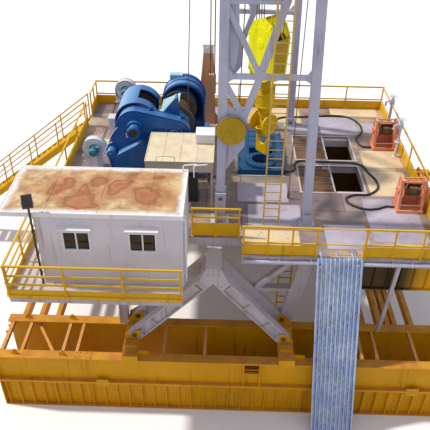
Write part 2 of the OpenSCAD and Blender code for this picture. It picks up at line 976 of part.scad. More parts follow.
// A drum along Y with a flange at each end and its shaft
module drum(y0, y1, r, flange_r) {
    rotate([-90, 0, 0]) {
        translate([0, 0, y0]) cylinder(h = y1 - y0, r = r);
        for (y = [y0, y1 - 60])
            translate([0, 0, y]) cylinder(h = 60, r = flange_r);
    }
}

module drawworks_drum() {
    color("#4d4a46")
        on_floor() {
            translate([drum_x, 0, drum_z]) {
                drum(drum_y0, drum_y1, drum_r, drum_flange_r);
                rotate([-90, 0, 0]) translate([0, 0, case_back + seat])
                    cylinder(h = brake_y1 - cover_t - case_back - 2 * seat, r = shaft_r);
            }
            translate([reel_x, 0, reel_z]) {
                drum(case_back + 150, reel_y1, 300, 560);
                rotate([-90, 0, 0]) translate([0, 0, case_back + seat])
                    cylinder(h = cover_y1 - cover_t - case_back - 2 * seat, r = shaft_r);
            }
        }
}

module drawworks_covers() {
    y_case = case_back + seat;
    inner_r = cover_r - cover_t;
    color(blue)
        on_floor() {
            // Cover of the sand reel, open towards the main drum
            difference() {
                upright_xz(y_case, cover_y1 - y_case) {
                    translate([reel_x, reel_z]) circle(r = cover_r);
                    translate([reel_x - cover_r, skid_h]) square([cover_r + body_x1 - reel_x, reel_z - skid_h]);
                }
                translate([reel_x, y_case - eps, reel_z])
                    rotate([-90, 0, 0]) cylinder(h = cover_y1 - cover_t - y_case + eps, r = inner_r);
                block([reel_x - inner_r, y_case - eps, body_z], [reel_x + inner_r, cover_y1 - cover_t, reel_z]);
                block([body_x1, y_case - eps, body_z], [reel_x + cover_r + eps, cover_y1 + eps, reel_z + 330]);
                block([reel_x + 40, -50, reel_z + 250], [reel_x + cover_r + eps, 700, reel_z + cover_r + eps]);
            }
            // Housing of the brake
            difference() {
                union() {
                    translate([brake_x, brake_y0, brake_z])
                        rotate([-90, 0, 0]) cylinder(h = brake_y1 - brake_y0, r = brake_r);
                    block([brake_x - brake_r, brake_y0, skid_h], [brake_x + brake_r, brake_y1, brake_z]);
                }
                translate([brake_x, brake_y0 - eps, brake_z])
                    rotate([-90, 0, 0]) cylinder(h = brake_y1 - cover_t - brake_y0, r = brake_r - 70);
                block([brake_x - brake_r + 70, brake_y0 - eps, 1050], [brake_x + brake_r - 70, brake_y1 - cover_t, brake_z]);
            }
            // Clutch box with its leaning lid
            difference() {
                upright_xz(y_case, 400)
                    polygon([[-3780, skid_h], [-2740, skid_h], [-2740, 2050], [-3060, 2350], [-3120, 2950], [-3170, 2950],
                             [-3620, 2400], [-3780, 2300]]);
                translate([drum_x, y_case - eps, drum_z])
                    rotate([-90, 0, 0]) cylinder(h = 400 + 2 * eps, r = shaft_r + seat);
            }
        }
}

// A blower on its stand: the round housing, its outlet, its motor and the stand
module blower(z) {
    r = 420;
    rotate([90, 0, 0]) {
        difference() {
            cylinder(h = 300, r = r);
            translate([0, 0, 240]) cylinder(h = 61, r = 300);
        }
        translate([0, 0, 240]) cylinder(h = 320, r = 150);
    }
    block([-r, -300, -r - 100], [-60, 0, 0]);
    block([-250, -280, -z], [250, -20, -r + 50]);
}

module blowers() {
    color(white)
        on_floor() {
            translate([-6280, -60, 770]) blower(770);
            translate([-5600, 3650, 1500]) blower(1500);
        }
}

shelter_x0 = -4000;
shelter_x1 = -1760;
shelter_y0 = -3050;
shelter_y1 = -1050;
shelter_h = 1900;

module driller_shelter() {
    color(white)
        on_floor() {
            block([shelter_x0, shelter_y0, shelter_h - 50], [shelter_x1, shelter_y1, shelter_h]);
            block([shelter_x0, shelter_y0, shelter_h - 380], [shelter_x1, shelter_y0 + 30, shelter_h - 50]);
            for (x = [shelter_x0, shelter_x1 - 80])
                for (y = [shelter_y0 + 30, shelter_y1 - 80])
                    block([x, y, 0], [x + 80, y + 80, shelter_h - 50]);
            block([-2350, -1800, shelter_h], [-1800, -1300, shelter_h + 350]);
        }
}

module hoist_post() {
    color("#b9825a")
        on_floor() {
            upright_xz(3500, 300)
                polygon([[-2600, 0], [-1860, 0], [-1975, 3150], [-2335, 3150]]);
            block([-2340, 3480, 3150], [-1970, 3820, 3480]);
            block([-2110, 2820, 1700], [-1820, 2980, 2500]);
            block([-2110, 2980, 2000], [-1980, 3500, 2150]);
        }
}

tugger_xs = 5000;
tugger_ys = [-2600, 1800];
tugger_axle_z = 750;
tugger_gap = 0.3;

module tugger_frames() {
    color("#c8714a")
        for (y = tugger_ys)
            translate([tugger_xs, y, floor_z]) {
                block([-450, -350, 0], [450, 350, 120]);
                for (s = [-1, 1])
                    difference() {
                        translate([s * 380 - 40, 0, 120])
                            rotate([90, 0, 90])
                                linear_extrude(80)
                                    polygon([[-300, 0], [300, 0], [170, 1100], [-170, 1100]]);
                        translate([s * 380 - 60, 0, tugger_axle_z])
                            rotate([0, 90, 0]) cylinder(h = 120, r = 70 + tugger_gap);
                    }
                block([-340, 250, 120], [340, 290, 900]);
            }
}

module tugger_drum(y) {
    color("#8c8480")
        translate([tugger_xs, y, floor_z + tugger_axle_z])
            rotate([0, 90, 0]) {
                translate([0, 0, -330]) cylinder(h = 660, r = 130);
                for (z = [-330, 290])
                    translate([0, 0, z]) cylinder(h = 40, r = 230);
                translate([0, 0, -440]) cylinder(h = 880, r = 70);
            }
}

// The white posts of the pipes, a box and a small tank
module floor_fittings() {
    color(white)
        on_floor() {
            block([-6150, 2050, 0], [-5800, 2450, 850]);
            block([-6200, -2400, 0], [-5200, -1900, 200]);
            translate([-6250, -2150, 420]) rotate([0, 90, 0]) cylinder(h = 1100, r = 300);
            rod([5350, 2700, 0], [5350, 2700, 1500], 60);
            rod([5350, 1000, 0], [5350, 1000, 1300], 60);
        }
}

// Cabin

cabin_back = cabin_edge;

module cabin_floor() {
    color(pale)
        on_floor() {
            block([-porch_left, -porch_front, -deck_t], [-cabin_right, -cabin_back, 0]);
            for (y = [-porch_front + 60, -cabin_back - 305])
                block([-porch_left, y, -deck_t - 250], [-cabin_right, y + 200, -deck_t]);
            for (x = [-7000, -4900, -2900])
                block([x, -porch_front + 260, -deck_t - 250], [x + 200, -cabin_back - 305, -deck_t]);
        }
}

module window_hole(x) {
    block([x, -cabin_front - eps, window_sill], [x + window_w, -cabin_front + wall_t + eps, window_sill + window_h]);
}

windows = [-5810, -3970];
door_w = 900;
door_h = 2000;

module cabin_walls() {
    color(white)
        on_floor()
            difference() {
                block([-cabin_left, -cabin_front, 0], [-cabin_right, -cabin_back - 60, cabin_h]);
                block([-cabin_left + wall_t, -cabin_front + wall_t, -eps],
                      [-cabin_right - wall_t, -cabin_back - 60 - wall_t, cabin_h + eps]);
                for (x = windows)
                    window_hole(x);
                block([-cabin_right - 1200 - door_w, -cabin_back - 60 - wall_t - eps, -eps],
                      [-cabin_right - 1200, -cabin_back - 60 + eps, door_h]);
            }
}

module cabin_glass() {
    color("#2a2f33")
        on_floor()
            for (x = windows)
                block([x, -cabin_front + 30, window_sill], [x + window_w, -cabin_front + 50, window_sill + window_h]);
}

module cabin_roof() {
    awning_z = window_sill + window_h + 150;
    color("#cfae86")
        on_floor() {
            block([-porch_left, -cabin_front - 40, cabin_h], [-cabin_right + 20, -cabin_back - 40, cabin_h + roof_t]);
            for (x = windows)
                upright_yz(x - 90, window_w + 180)
                    polygon([[-cabin_front, awning_z + 60], [-cabin_front, awning_z + 30],
                             [-cabin_front - 160, awning_z], [-cabin_front - 160, awning_z + 20]]);
        }
}

module cabin_lights() {
    color("#26282c")
        on_floor() {
            rod([-6560, -7000, 0], [-6560, -7000, 2900], 30);
            translate([-6560, -7000, 2880]) rotate([35, 0, 20]) block([-140, -180, 0], [140, 180, 120]);
        }
}

// Handrails

module rail_x(x0, x1, y, count, toe = toe_h, bars = [0.45]) {
    w = rail_w;
    for (i = [0:count - 1]) {
        x = x0 + w / 2 + i * (x1 - x0 - w) / (count - 1);
        block([x - w / 2, y - w / 2, 0], [x + w / 2, y + w / 2, rail_h]);
    }
    for (share = concat([1], bars))
        block([x0, y - w / 2 + 5, rail_h * share - w], [x1, y + w / 2 - 5, rail_h * share]);
    block([x0, y - 6, 0], [x1, y + 6, toe]);
}

module rail_y(y0, y1, x, count, toe = toe_h, bars = [0.45]) {
    translate([x, 0, 0]) rotate([0, 0, 90]) rail_x(y0, y1, 0, count, toe, bars);
}

edge = 40;

module rails_front() {
    color(yellow)
        on_floor() {
            rail_x(step_x + 20, slide_x - slide_w / 2 - 40, -floor_half + edge, 4);
            rail_x(slide_x + slide_w / 2 + 40, floor_right, -floor_half + edge, 4);
            // Two loose bars close the rail over the slide
            for (share = [1, 0.45])
                block([slide_x - slide_w / 2 - 40 + seat, -floor_half + edge - 15, rail_h * share - 40],
                      [slide_x + slide_w / 2 + 40 - seat, -floor_half + edge + 15, rail_h * share - 10]);
            rail_x(-cabin_right + 100, step_x - 60, -cabin_edge + edge, 3, 500, [0.7]);
        }
}

module rails_sides() {
    color(yellow)
        on_floor() {
            rail_y(-floor_half + 80, floor_half - 80, floor_right - edge, 7);
            rail_y(-cabin_edge + 20, stair_y - stair_w / 2 - 40, -floor_left + edge, 5);
            rail_y(stair_y + stair_w / 2 + 40, floor_half - 80, -floor_left + edge, 3);
        }
}

module rails_back() {
    color(yellow)
        on_floor()
            rail_x(-floor_left, floor_right, floor_half - edge, 9);
}

module rails_cabin() {
    color(yellow)
        on_floor() {
            rail_x(-porch_left, -cabin_right, -porch_front + 25, 4, porch_toe_h, [0.68, 0.4]);
            rail_y(-porch_front + 60, -cabin_back - 20, -porch_left + 25, 3, porch_toe_h, [0.68, 0.4]);
        }
}

// Slide and stair

// The slide leans from the floor's edge on the base box, with its foot a little towards the pipe side,
// so it touches the box at one of its sides
slide_back_top = -floor_half - 40;
slide_roll = 2.4;
slide_rise = slide_w / 2 * sin(slide_roll);
slide_lean = (base_outer_y + seat + slide_back_top) / (floor_z - base_h - slide_rise);
slide_end = 100;
slide_back_foot = slide_back_top - (floor_z + slide_end) * slide_lean;

module slide_side(front) {
    polygon([[slide_back_top, floor_z], [slide_back_foot, -slide_end],
             [slide_back_foot - front, -slide_end], [slide_back_top - front, floor_z]]);
}

module slide() {
    x0 = -slide_w / 2;
    color("#a9bfd0")
        intersection() {
            translate([slide_x, 0, floor_z]) rotate([0, -slide_roll, 0]) translate([0, 0, -floor_z]) slide_plates(x0);
            block([slide_x - slide_w, -2 * floor_half, 0], [slide_x + slide_w, 0, floor_z]);
        }
}

module slide_plates(x0) {
    upright_yz(x0, slide_w) slide_side(slide_t);
    for (x = [x0, x0 + slide_w - 30])
        upright_yz(x, 30) slide_side(slide_t + slide_flange);
    for (i = [1:slide_ribs])
        upright_yz(x0 + i * slide_w / (slide_ribs + 1) - slide_rib_w / 2, slide_rib_w)
            slide_side(slide_t + 45);
    block([x0, slide_back_top - slide_t, floor_z - 150], [x0 + slide_w, -floor_half, floor_z]);
}

module stair() {
    steps = ceil(floor_z / tread_rise);
    rise = floor_z / steps;
    run = stair_run / steps;
    color(yellow)
        translate([-floor_left, stair_y, 0]) {
            for (s = [-1, 1]) {
                upright_xz(s * stair_w / 2 - 20, 40)
                    polygon([[0, floor_z], [0, floor_z - 320], [-stair_run + 250, 0], [-stair_run, 0], [-stair_run, 120]]);
                upright_xz(s * stair_w / 2 - 20, 40) {
                    bar([-40, floor_z + rail_h], [-stair_run + 40, 60 + rail_h], rail_w);
                    bar([-40, floor_z + rail_h * 0.55], [-stair_run + 40, 60 + rail_h * 0.55], 40);
                    for (i = [0:6]) {
                        x = -60 - i * (stair_run - 160) / 6;
                        z = floor_z + x * tan(stair_angle);
                        bar([x, z], [x, z + rail_h], rail_w);
                    }
                }
            }
            for (i = [0:steps - 2])
                block([-(i + 1) * run - 40, -stair_w / 2 + 20, floor_z - (i + 1) * rise - 40],
                      [-i * run, stair_w / 2 - 20, floor_z - (i + 1) * rise]);
        }
}

// Hoses

hose_r = 40;
hose_z = floor_z + hose_r;
hose_step = 4;
route_near = [[4549.7, -2600], [4400, -2600], [4250, -2600], [3900, -2760], [3500, -2780], [3050, -2500], [2950, -2120],
              [3300, -1900], [3800, -1850], [4200, -1450], [4250, -900], [4050, -300], [3950, 120], [3600, 350],
              [3000, 370], [2300, 400], [1850, 420], [1480, 400], [1330, 180], [1320, -100], [1230, -320], [1040, -400],
              [965, -400], [890.3, -400]];
route_far = [[4549.7, 1650], [4450, 1650], [4350, 1650], [4180, 1720], [4080, 1930], [4080, 2450], [4380, 2950],
             [4400, 3700], [4050, 4300], [3400, 4480], [2600, 4380], [1800, 4260], [1100, 4180], [700, 3800],
             [640, 3200], [640, 2650], [640, 2450], [640, 2300.3]];

// A smooth way through the points of a route, four steps to each stretch
function through(p0, p1, p2, p3, t) = 0.5 * (2 * p1 + (p2 - p0) * t + (2 * p0 - 5 * p1 + 4 * p2 - p3) * t * t
                                             + (3 * p1 - p0 - 3 * p2 + p3) * t * t * t);
function smooth(route) = let (last = len(route) - 1)
    concat([for (i = [0:last - 1]) for (k = [0:hose_step - 1])
               through(route[max(i - 1, 0)], route[i], route[i + 1], route[min(i + 2, last)], k / hose_step)],
           [route[last]]);

function ring(p, d, r, n, z) = [for (k = [0:n - 1])
    let (a = 360 * k / n) [p[0] - d[1] * r * cos(a), p[1] + d[0] * r * cos(a), z + r * sin(a)]];
function unit2(v) = v / norm(v);
function dir_at(route, i) = unit2(route[min(i + 1, len(route) - 1)] - route[max(i - 1, 0)]);

module hose(control) {
    n = 8;
    route = smooth(control);
    m = len(route);
    points = [for (i = [0:m - 1]) each ring(route[i], dir_at(route, i), hose_r, n, hose_z)];
    sides = [for (i = [0:m - 2]) for (k = [0:n - 1])
        [i * n + k, i * n + (k + 1) % n, (i + 1) * n + (k + 1) % n, (i + 1) * n + k]];
    ends = [[for (k = [n - 1:-1:0]) k], [for (k = [0:n - 1]) (m - 1) * n + k]];
    color("#1c1c1e") polyhedron(points, concat(sides, ends), convexity = 10);
}

place() base_outer();  // base_outer_near
place() base_inner();  // base_inner_near
place() base_struts();  // base_struts_near
place() far_side() base_outer();  // base_outer_far
place() far_side() base_inner();  // base_inner_far
place() far_side() base_struts();  // base_struts_far
place() base_spreaders();
place() legs_outer();  // legs_near_outer
place() legs_inner();  // legs_near_inner
place() far_side() legs_outer();  // legs_far_outer
place() far_side() legs_inner();  // legs_far_inner
place() floor_frame();
place() floor_deck();
place() setback_planks();
place() rotary_table();
place() {  // mast_near_side
    mast_side();
    mast_plate();
}
place() far_side() mast_side();  // mast_far_side
place() mast_back_bracing();
place() mast_shoes();
place() mast_pedestals();
place() mast_ladder();
place() crown_frame();
place() crown_sheaves();
place() racking_board();
place() block_housing();
place() block_sheaves();
place() hook_body();
place() hook_swivel();
place() drilling_lines();
place() fast_line();
place() dead_line();
place() hoist_lines();
place() deadline_anchor();
place() drawworks_skid();
place() drawworks_chain_case();
place() drawworks_drum();
place() drawworks_covers();
place() blowers();
place() driller_shelter();
place() hoist_post();
place() tugger_frames();
place() tugger_drum(tugger_ys[0]);  // tugger_drum_near
place() tugger_drum(tugger_ys[1]);  // tugger_drum_far
place() cabin_floor();
place() cabin_walls();
place() cabin_glass();
place() cabin_roof();
place() cabin_lights();
place() rails_front();
place() rails_sides();
place() rails_back();
place() rails_cabin();
place() slide();
place() stair();
place() floor_fittings();
place() hose(route_near);  // hose_near
place() hose(route_far);  // hose_far
place() cellar_ladder();
place() setback_girder();
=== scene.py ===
# %% [markdown]
# # A land drilling rig
# This notebook dresses a land rig: a yellow base, a raised steel floor on pale legs, a lattice mast with
# its travelling block and hook, a blue drawworks and a white cabin. The plain parts come packed from the
# construction step, already at full size in metres. Here they get their paint, dirt and rust, and the
# smaller pieces that the construction leaves out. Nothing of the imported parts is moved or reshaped.

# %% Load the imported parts
import bmesh
import bpy
import math
import random
from mathutils import Matrix, Vector


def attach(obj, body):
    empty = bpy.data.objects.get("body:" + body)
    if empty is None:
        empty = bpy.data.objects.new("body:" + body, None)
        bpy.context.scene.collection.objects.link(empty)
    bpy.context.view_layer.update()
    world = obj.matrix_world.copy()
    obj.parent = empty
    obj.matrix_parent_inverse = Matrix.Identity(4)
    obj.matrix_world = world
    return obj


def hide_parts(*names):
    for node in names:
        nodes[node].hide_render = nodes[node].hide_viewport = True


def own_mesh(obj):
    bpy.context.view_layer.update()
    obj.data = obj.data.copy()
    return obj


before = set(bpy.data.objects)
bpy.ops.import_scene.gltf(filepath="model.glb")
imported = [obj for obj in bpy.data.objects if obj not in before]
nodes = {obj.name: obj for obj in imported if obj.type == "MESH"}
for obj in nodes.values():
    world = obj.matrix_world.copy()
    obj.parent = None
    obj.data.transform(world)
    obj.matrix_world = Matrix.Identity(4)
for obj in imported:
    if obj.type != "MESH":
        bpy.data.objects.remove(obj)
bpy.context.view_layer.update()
print("packed parts:", len(nodes))

# %% [markdown]
# All the work is laid out from the middle of the well, where the pipe goes down through the floor, as a
# rig's own drawings are. WELL is that point in the shared frame and FLOOR is the height of the rig floor.

# %% The well and the floor
WELL = Vector((3.181816, 0.5, 0.0))
FLOOR = 6.3


def at(x, y, z=0.0):
    """A point given from the well centre, in the shared frame."""
    return WELL + Vector((x, y, z))


print("well at", [round(v, 2) for v in WELL], "and rig floor at", FLOOR)

# %% [markdown]
# The camera comes first. The picture was taken from a high place in front of the rig, looking down at
# 35.5 degrees, so the lens and the angles are set from the lines of the base and the mast.

# %% Camera
PITCH = math.radians(35.5)
YAW = math.radians(0.94)
ROLL = math.radians(-0.94)
right = Vector((math.cos(YAW), math.sin(YAW), 0))
forward = Vector((-math.sin(YAW) * math.cos(PITCH), math.cos(YAW) * math.cos(PITCH), -math.sin(PITCH)))
down = forward.cross(right)
side = math.cos(ROLL) * right + math.sin(ROLL) * down
under = -math.sin(ROLL) * right + math.cos(ROLL) * down
lens = bpy.data.cameras.new("camera")
lens.lens = 50
lens.sensor_width = 36
lens.clip_end = 400
camera = bpy.data.objects.new("camera", lens)
turn = Matrix((side, -under, -forward)).transposed().to_4x4()
camera.matrix_world = Matrix.Translation(at(-1.4, -19.85, 18.1)) @ turn
bpy.context.scene.collection.objects.link(camera)
bpy.context.scene.camera = camera
print("camera at", [round(v, 2) for v in camera.location])

# %% [markdown]
# One small function adds a shader node, and a second fills or links the inputs of a node. A third turns
# the hex colours of the screen into the linear values that the shader wants. The kinds of node that every
# finish needs have a short name each: noise, a spread range, a mix of colours, maths and dents.

# %% Shader helpers


def linear(hex_code):
    """An sRGB hex colour as linear red, green, blue and alpha."""
    parts = [int(hex_code[i:i + 2], 16) / 255 for i in (1, 3, 5)]
    return [c / 12.92 if c <= 0.04045 else ((c + 0.055) / 1.055) ** 2.4 for c in parts] + [1.0]


def fill(node, inputs):
    """Fills or links the inputs of a node. A node stands for its own result, and a text is a hex colour."""
    for socket, value in inputs.items():
        if isinstance(value, bpy.types.Node):
            value = value.outputs[2 if value.bl_idname == "ShaderNodeMix" else 0]
        if isinstance(value, str):
            value = linear(value)
        if isinstance(value, bpy.types.NodeSocket):
            node.id_data.links.new(value, node.inputs[socket])
        else:
            node.inputs[socket].default_value = value


def add_node(tree, kind, inputs=None, **settings):
    """Adds one shader node, sets its properties, and fills or links its inputs."""
    node = tree.nodes.new("ShaderNode" + kind)
    for name, value in settings.items():
        setattr(node, name, value)
    fill(node, inputs or {})
    return node


def noise(tree, place, scale, detail, roughness=0.5):
    """A noise that wanders over a place."""
    return add_node(tree, "TexNoise", {"Vector": place, "Scale": scale, "Detail": detail,
                                       "Roughness": roughness})


def spread(tree, value, start=0.0, end=1.0, low=0.0, high=1.0):
    """A value stretched from one range to another, and held at both ends."""
    return add_node(tree, "MapRange", {"Value": value, "From Min": start, "From Max": end, "To Min": low,
                                       "To Max": high})


def mix(tree, share, below, above, **settings):
    """One colour laid over another, as strong as the share says."""
    return add_node(tree, "Mix", {0: share, 6: below, 7: above}, data_type="RGBA", **settings)


def maths(tree, operation, *values):
    """One step of arithmetic with its values."""
    return add_node(tree, "Math", dict(enumerate(values)), operation=operation)


def dent(tree, height, strength, distance):
    """A surface that rises and sinks with a height, at most as far as the distance."""
    return add_node(tree, "Bump", {"Height": height, "Strength": strength, "Distance": distance})


def set_ramp(node, first, last, *between):
    """Gives a colour ramp its stops, each a position and a hex colour."""
    for stop, (position, shade) in zip(node.color_ramp.elements, (first, last)):
        stop.position = position
        stop.color = linear(shade)
    for position, shade in between:
        node.color_ramp.elements.new(position).color = linear(shade)


def new_material(name):
    """A material with a bare node tree: its shader and its output, linked."""
    material = bpy.data.materials.new(name)
    material.use_nodes = True
    tree = material.node_tree
    tree.nodes.clear()
    shader = add_node(tree, "BsdfPrincipled")
    add_node(tree, "OutputMaterial", {"Surface": shader})
    return material, tree, shader


print("shader helpers ready")

# %% [markdown]
# The air hoses are next. They are thick black rubber, tough and matt, with a fine cloth print in the
# cover and grey dust on top. Rubber has an IOR of about 1.52 and is quite rough.

# %% Hose rubber
HOSE_DIAMETER = 0.08
STEPS = 4

hose_rubber, tree, shader = new_material("dusty_hose_rubber")
place = add_node(tree, "TexCoord").outputs["Object"]
dust = noise(tree, place, 3.0, 5.0)
dust_share = spread(tree, dust, 0.5, 0.75)
tint = mix(tree, dust_share, "#161617", "#4a443e")
weave = noise(tree, place, 160.0, 2.0)
rough = spread(tree, dust, low=0.45, high=0.8)
bump = dent(tree, weave, 0.3, 0.002)
fill(shader, {"Base Color": tint, "Roughness": rough, "Normal": bump, "IOR": 1.52})

# %% [markdown]
# Each hose keeps one real length. It leaves the fitting of an air winch and lies on the deck in the loose
# bends that the picture shows. The route repeats the round numbers of the construction drawing, and a
# smooth curve is laid through them.

# %% Hoses on the floor
ROUTES = {
    "hose_near": [
        (4.5497, -2.6), (4.4, -2.6), (4.25, -2.6), (3.9, -2.76), (3.5, -2.78), (3.05, -2.5),
        (2.95, -2.12), (3.3, -1.9), (3.8, -1.85), (4.2, -1.45), (4.25, -0.9), (4.05, -0.3), (3.95, 0.12),
        (3.6, 0.35), (3, 0.37), (2.3, 0.4), (1.85, 0.42), (1.48, 0.4), (1.33, 0.18), (1.32, -0.1),
        (1.23, -0.32), (1.04, -0.4), (0.965, -0.4), (0.8903, -0.4)],
    "hose_far": [
        (4.5497, 1.65), (4.45, 1.65), (4.35, 1.65), (4.18, 1.72), (4.08, 1.93), (4.08, 2.45),
        (4.38, 2.95), (4.4, 3.7), (4.05, 4.3), (3.4, 4.48), (2.6, 4.38), (1.8, 4.26), (1.1, 4.18),
        (0.7, 3.8), (0.64, 3.2), (0.64, 2.65), (0.64, 2.45), (0.64, 2.3003)],
}


def smooth(route):
    """A smooth way through the points of a route, in a few short steps to each stretch."""
    points = []
    for i in range(len(route) - 1):
        near = [Vector(route[max(0, min(i + k, len(route) - 1))]) for k in (-1, 0, 1, 2)]
        for t in (step / STEPS for step in range(STEPS)):
            points.append(0.5 * (2 * near[1] + (near[2] - near[0]) * t
                                 + (2 * near[0] - 5 * near[1] + 4 * near[2] - near[3]) * t * t
                                 + (3 * near[1] - near[0] - 3 * near[2] + near[3]) * t * t * t))
    return points + [Vector(route[-1])]


def lay_hose(name, route):
    """One hose through the points of its route, resting on the deck."""
    route = smooth(route)
    curve = bpy.data.curves.new(name, "CURVE")
    curve.dimensions = "3D"
    curve.bevel_depth = HOSE_DIAMETER / 2
    curve.bevel_resolution = 4
    curve.use_fill_caps = True
    spline = curve.splines.new("POLY")
    spline.points.add(len(route) - 1)
    for point, (x, y) in zip(spline.points, route):
        point.co = (*at(x, y, FLOOR + HOSE_DIAMETER / 2), 1)
    hose = bpy.data.objects.new(name + "_rubber", curve)
    bpy.context.scene.collection.objects.link(hose)
    curve.materials.append(hose_rubber)
    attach(hose, "root")
    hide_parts(name)


for name, route in ROUTES.items():
    lay_hose(name, route)

# %% [markdown]
# ## Small steelwork
# Everything below is built from a few kinds of steelwork: plates, bars, tubes, turned pieces and bent pipes.
# Each function adds one of them to one open mesh. Its places are in metres from the middle of the well, and
# heights count from the rig floor, or from the ground for the base.

# %% Plates and bars
X, Y, Z = Vector((1, 0, 0)), Vector((0, 1, 0)), Vector((0, 0, 1))
steel = bmesh.new()


def add_block(low, high):
    """A plain plate or block between two corners."""
    corners = [steel.verts.new((x, y, z)) for z in (low[2], high[2]) for y in (low[1], high[1])
               for x in (low[0], high[0])]
    for face in ((0, 2, 3, 1), (4, 5, 7, 6), (0, 1, 5, 4), (2, 6, 7, 3), (0, 4, 6, 2), (1, 3, 7, 5)):
        steel.faces.new([corners[i] for i in face])


def add_bar(start, end, width, depth, facing=Z):
    """A flat or square bar from one point to another; its depth runs along the facing direction."""
    start, end = Vector(start), Vector(end)
    along = (end - start).normalized()
    across = along.cross(Vector(facing)).normalized() * width / 2
    up = across.cross(along).normalized() * depth / 2
    rings = [[steel.verts.new(p + s * across + t * up) for s, t in ((-1, -1), (1, -1), (1, 1), (-1, 1))]
             for p in (start, end)]
    for i in range(4):
        steel.faces.new((rings[0][i], rings[0][(i + 1) % 4], rings[1][(i + 1) % 4], rings[1][i]))
    steel.faces.new(rings[0][::-1])
    steel.faces.new(rings[1])


def add_plate(outline, origin, across, up, thickness):
    """A flat plate cut to an outline, which is drawn along two directions from its origin."""
    origin, across, up = Vector(origin), Vector(across).normalized(), Vector(up).normalized()
    through = across.cross(up) * thickness
    front = [steel.verts.new(origin + u * across + v * up) for u, v in outline]
    back = [steel.verts.new(v.co + through) for v in front]
    steel.faces.new(front[::-1])
    steel.faces.new(back)
    for i, vert in enumerate(front):
        j = (i + 1) % len(front)
        steel.faces.new((vert, front[j], back[j], back[i]))


print("plates and bars ready")

# %% Turned pieces and pipes


def circle(centre, radius, count, across=X, up=Z, start=0.0):
    """Points evenly round a circle, which lies along two directions."""
    centre, across, up = Vector(centre), Vector(across), Vector(up)
    turns = [math.tau * (i + start) / count for i in range(count)]
    return [centre + radius * (math.cos(a) * across + math.sin(a) * up) for a in turns]


def polar(radius, degrees):
    """How far across and how far up a point on a circle lies, from its angle in degrees."""
    a = math.radians(degrees)
    return radius * math.cos(a), radius * math.sin(a)


def add_turned(profile, base, axis=Z, steps=24):
    """A turned piece from (radius, height) pairs; one that ends at its first radius is a ring."""
    axis = Vector(axis).normalized()
    across = axis.orthogonal().normalized()
    other = axis.cross(across)
    rings = []
    for radius, height in profile:
        middle = Vector(base) + height * axis
        if radius < 1e-5:
            rings.append([steel.verts.new(middle)])
        else:
            rings.append([steel.verts.new(p) for p in circle(middle, radius, steps, across, other)])
    hollow = len(profile) > 2 and profile[0][0] == profile[-1][0]
    for low, high in zip(rings, rings[1:] + rings[:1] * hollow):
        for i in range(steps):
            j = (i + 1) % steps
            if len(low) > 1 and len(high) > 1:
                steel.faces.new((low[i], low[j], high[j], high[i]))
            elif len(low) > 1:
                steel.faces.new((low[i], low[j], high[0]))
            elif len(high) > 1:
                steel.faces.new((low[0], high[j], high[i]))
    for ring in (rings[0], rings[-1]):
        if len(ring) > 2 and not hollow:
            steel.faces.new(ring)


def add_tube(start, end, radius, steps=12):
    """A straight round bar from one point to another."""
    length = (Vector(end) - Vector(start)).length
    add_turned([(radius, 0), (radius, length)], start, Vector(end) - Vector(start), steps)


def add_ring(centre, radius, count, thickness, steps=8, up=Z):
    """A closed ring of round bar, which lies along X and a second direction."""
    ring = circle(centre, radius, count, up=up)
    add_pipe(ring + ring[:1], thickness, steps)


def add_pipe(points, radius, steps=8):
    """A bent pipe through a row of points."""
    points = [Vector(p) for p in points]
    rings = []
    side = None
    for i, point in enumerate(points):
        along = (points[min(i + 1, len(points) - 1)] - points[max(i - 1, 0)]).normalized()
        if side is None:
            side = along.orthogonal().normalized()
        side = (side - side.dot(along) * along).normalized()
        rings.append([steel.verts.new(p) for p in circle(point, radius, steps, side, along.cross(side))])
    for low, high in zip(rings, rings[1:]):
        for k in range(steps):
            steel.faces.new((low[k], low[(k + 1) % steps], high[(k + 1) % steps], high[k]))
    steel.faces.new(rings[0][::-1])
    steel.faces.new(rings[-1])


print("turned pieces and pipes ready")

# %% Bolts and finishing


def add_bolts(places, axis, size=0.022):
    """Hexagon bolt heads with their washers, standing on a face."""
    for place in places:
        add_turned([(size * 1.5, 0), (size * 1.5, size * 0.3)], place, axis, 12)
        head = Vector(place) + Vector(axis).normalized() * size * 0.3
        add_turned([(size, 0), (size, size), (size * 0.8, size * 1.2)], head, axis, 6)


def close_mesh(name):
    """Writes the open mesh under a name, and empties it for the next piece."""
    mesh = bpy.data.meshes.new(name)
    steel.to_mesh(mesh)
    steel.clear()
    return mesh


def finish_piece(name, material, body="root", bevel=0.004, angle=40, base=FLOOR):
    """Turns the open mesh into a named piece of the rig, with worn edges, paint and its body."""
    bmesh.ops.translate(steel, verts=steel.verts, vec=(0, 0, base))
    bmesh.ops.recalc_face_normals(steel, faces=steel.faces)
    mesh = close_mesh(name)
    mesh.shade_smooth()
    mesh.set_sharp_from_angle(angle=math.radians(angle))
    mesh.materials.append(material)
    piece = bpy.data.objects.new(name, mesh)
    piece.location = WELL
    bpy.context.scene.collection.objects.link(piece)
    if bevel:
        edges = piece.modifiers.new("worn_edges", "BEVEL")
        edges.width = bevel
        edges.segments = 1
        edges.limit_method = "ANGLE"
        edges.angle_limit = math.radians(50)
        edges.harden_normals = True
    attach(piece, body)
    triangles = sum(len(p.vertices) - 2 for p in mesh.polygons)
    print(name, "has", triangles, "triangles")
    return piece


print("bolts and finishing ready")

# %% [markdown]
# ## Paint, rust and dust
# Nearly all of the rig is painted steel that stands in the sun. One function lays such a finish in the
# order in which it came to be: the coat of paint, broad fading, rusty runs down the sides, chips down to
# rust, and dust on whatever faces up. Painted faces have the usual IOR of 1.5 and no metal in them, and a
# chalky old coat shines less than a fresh one.

# %% Weathered paint


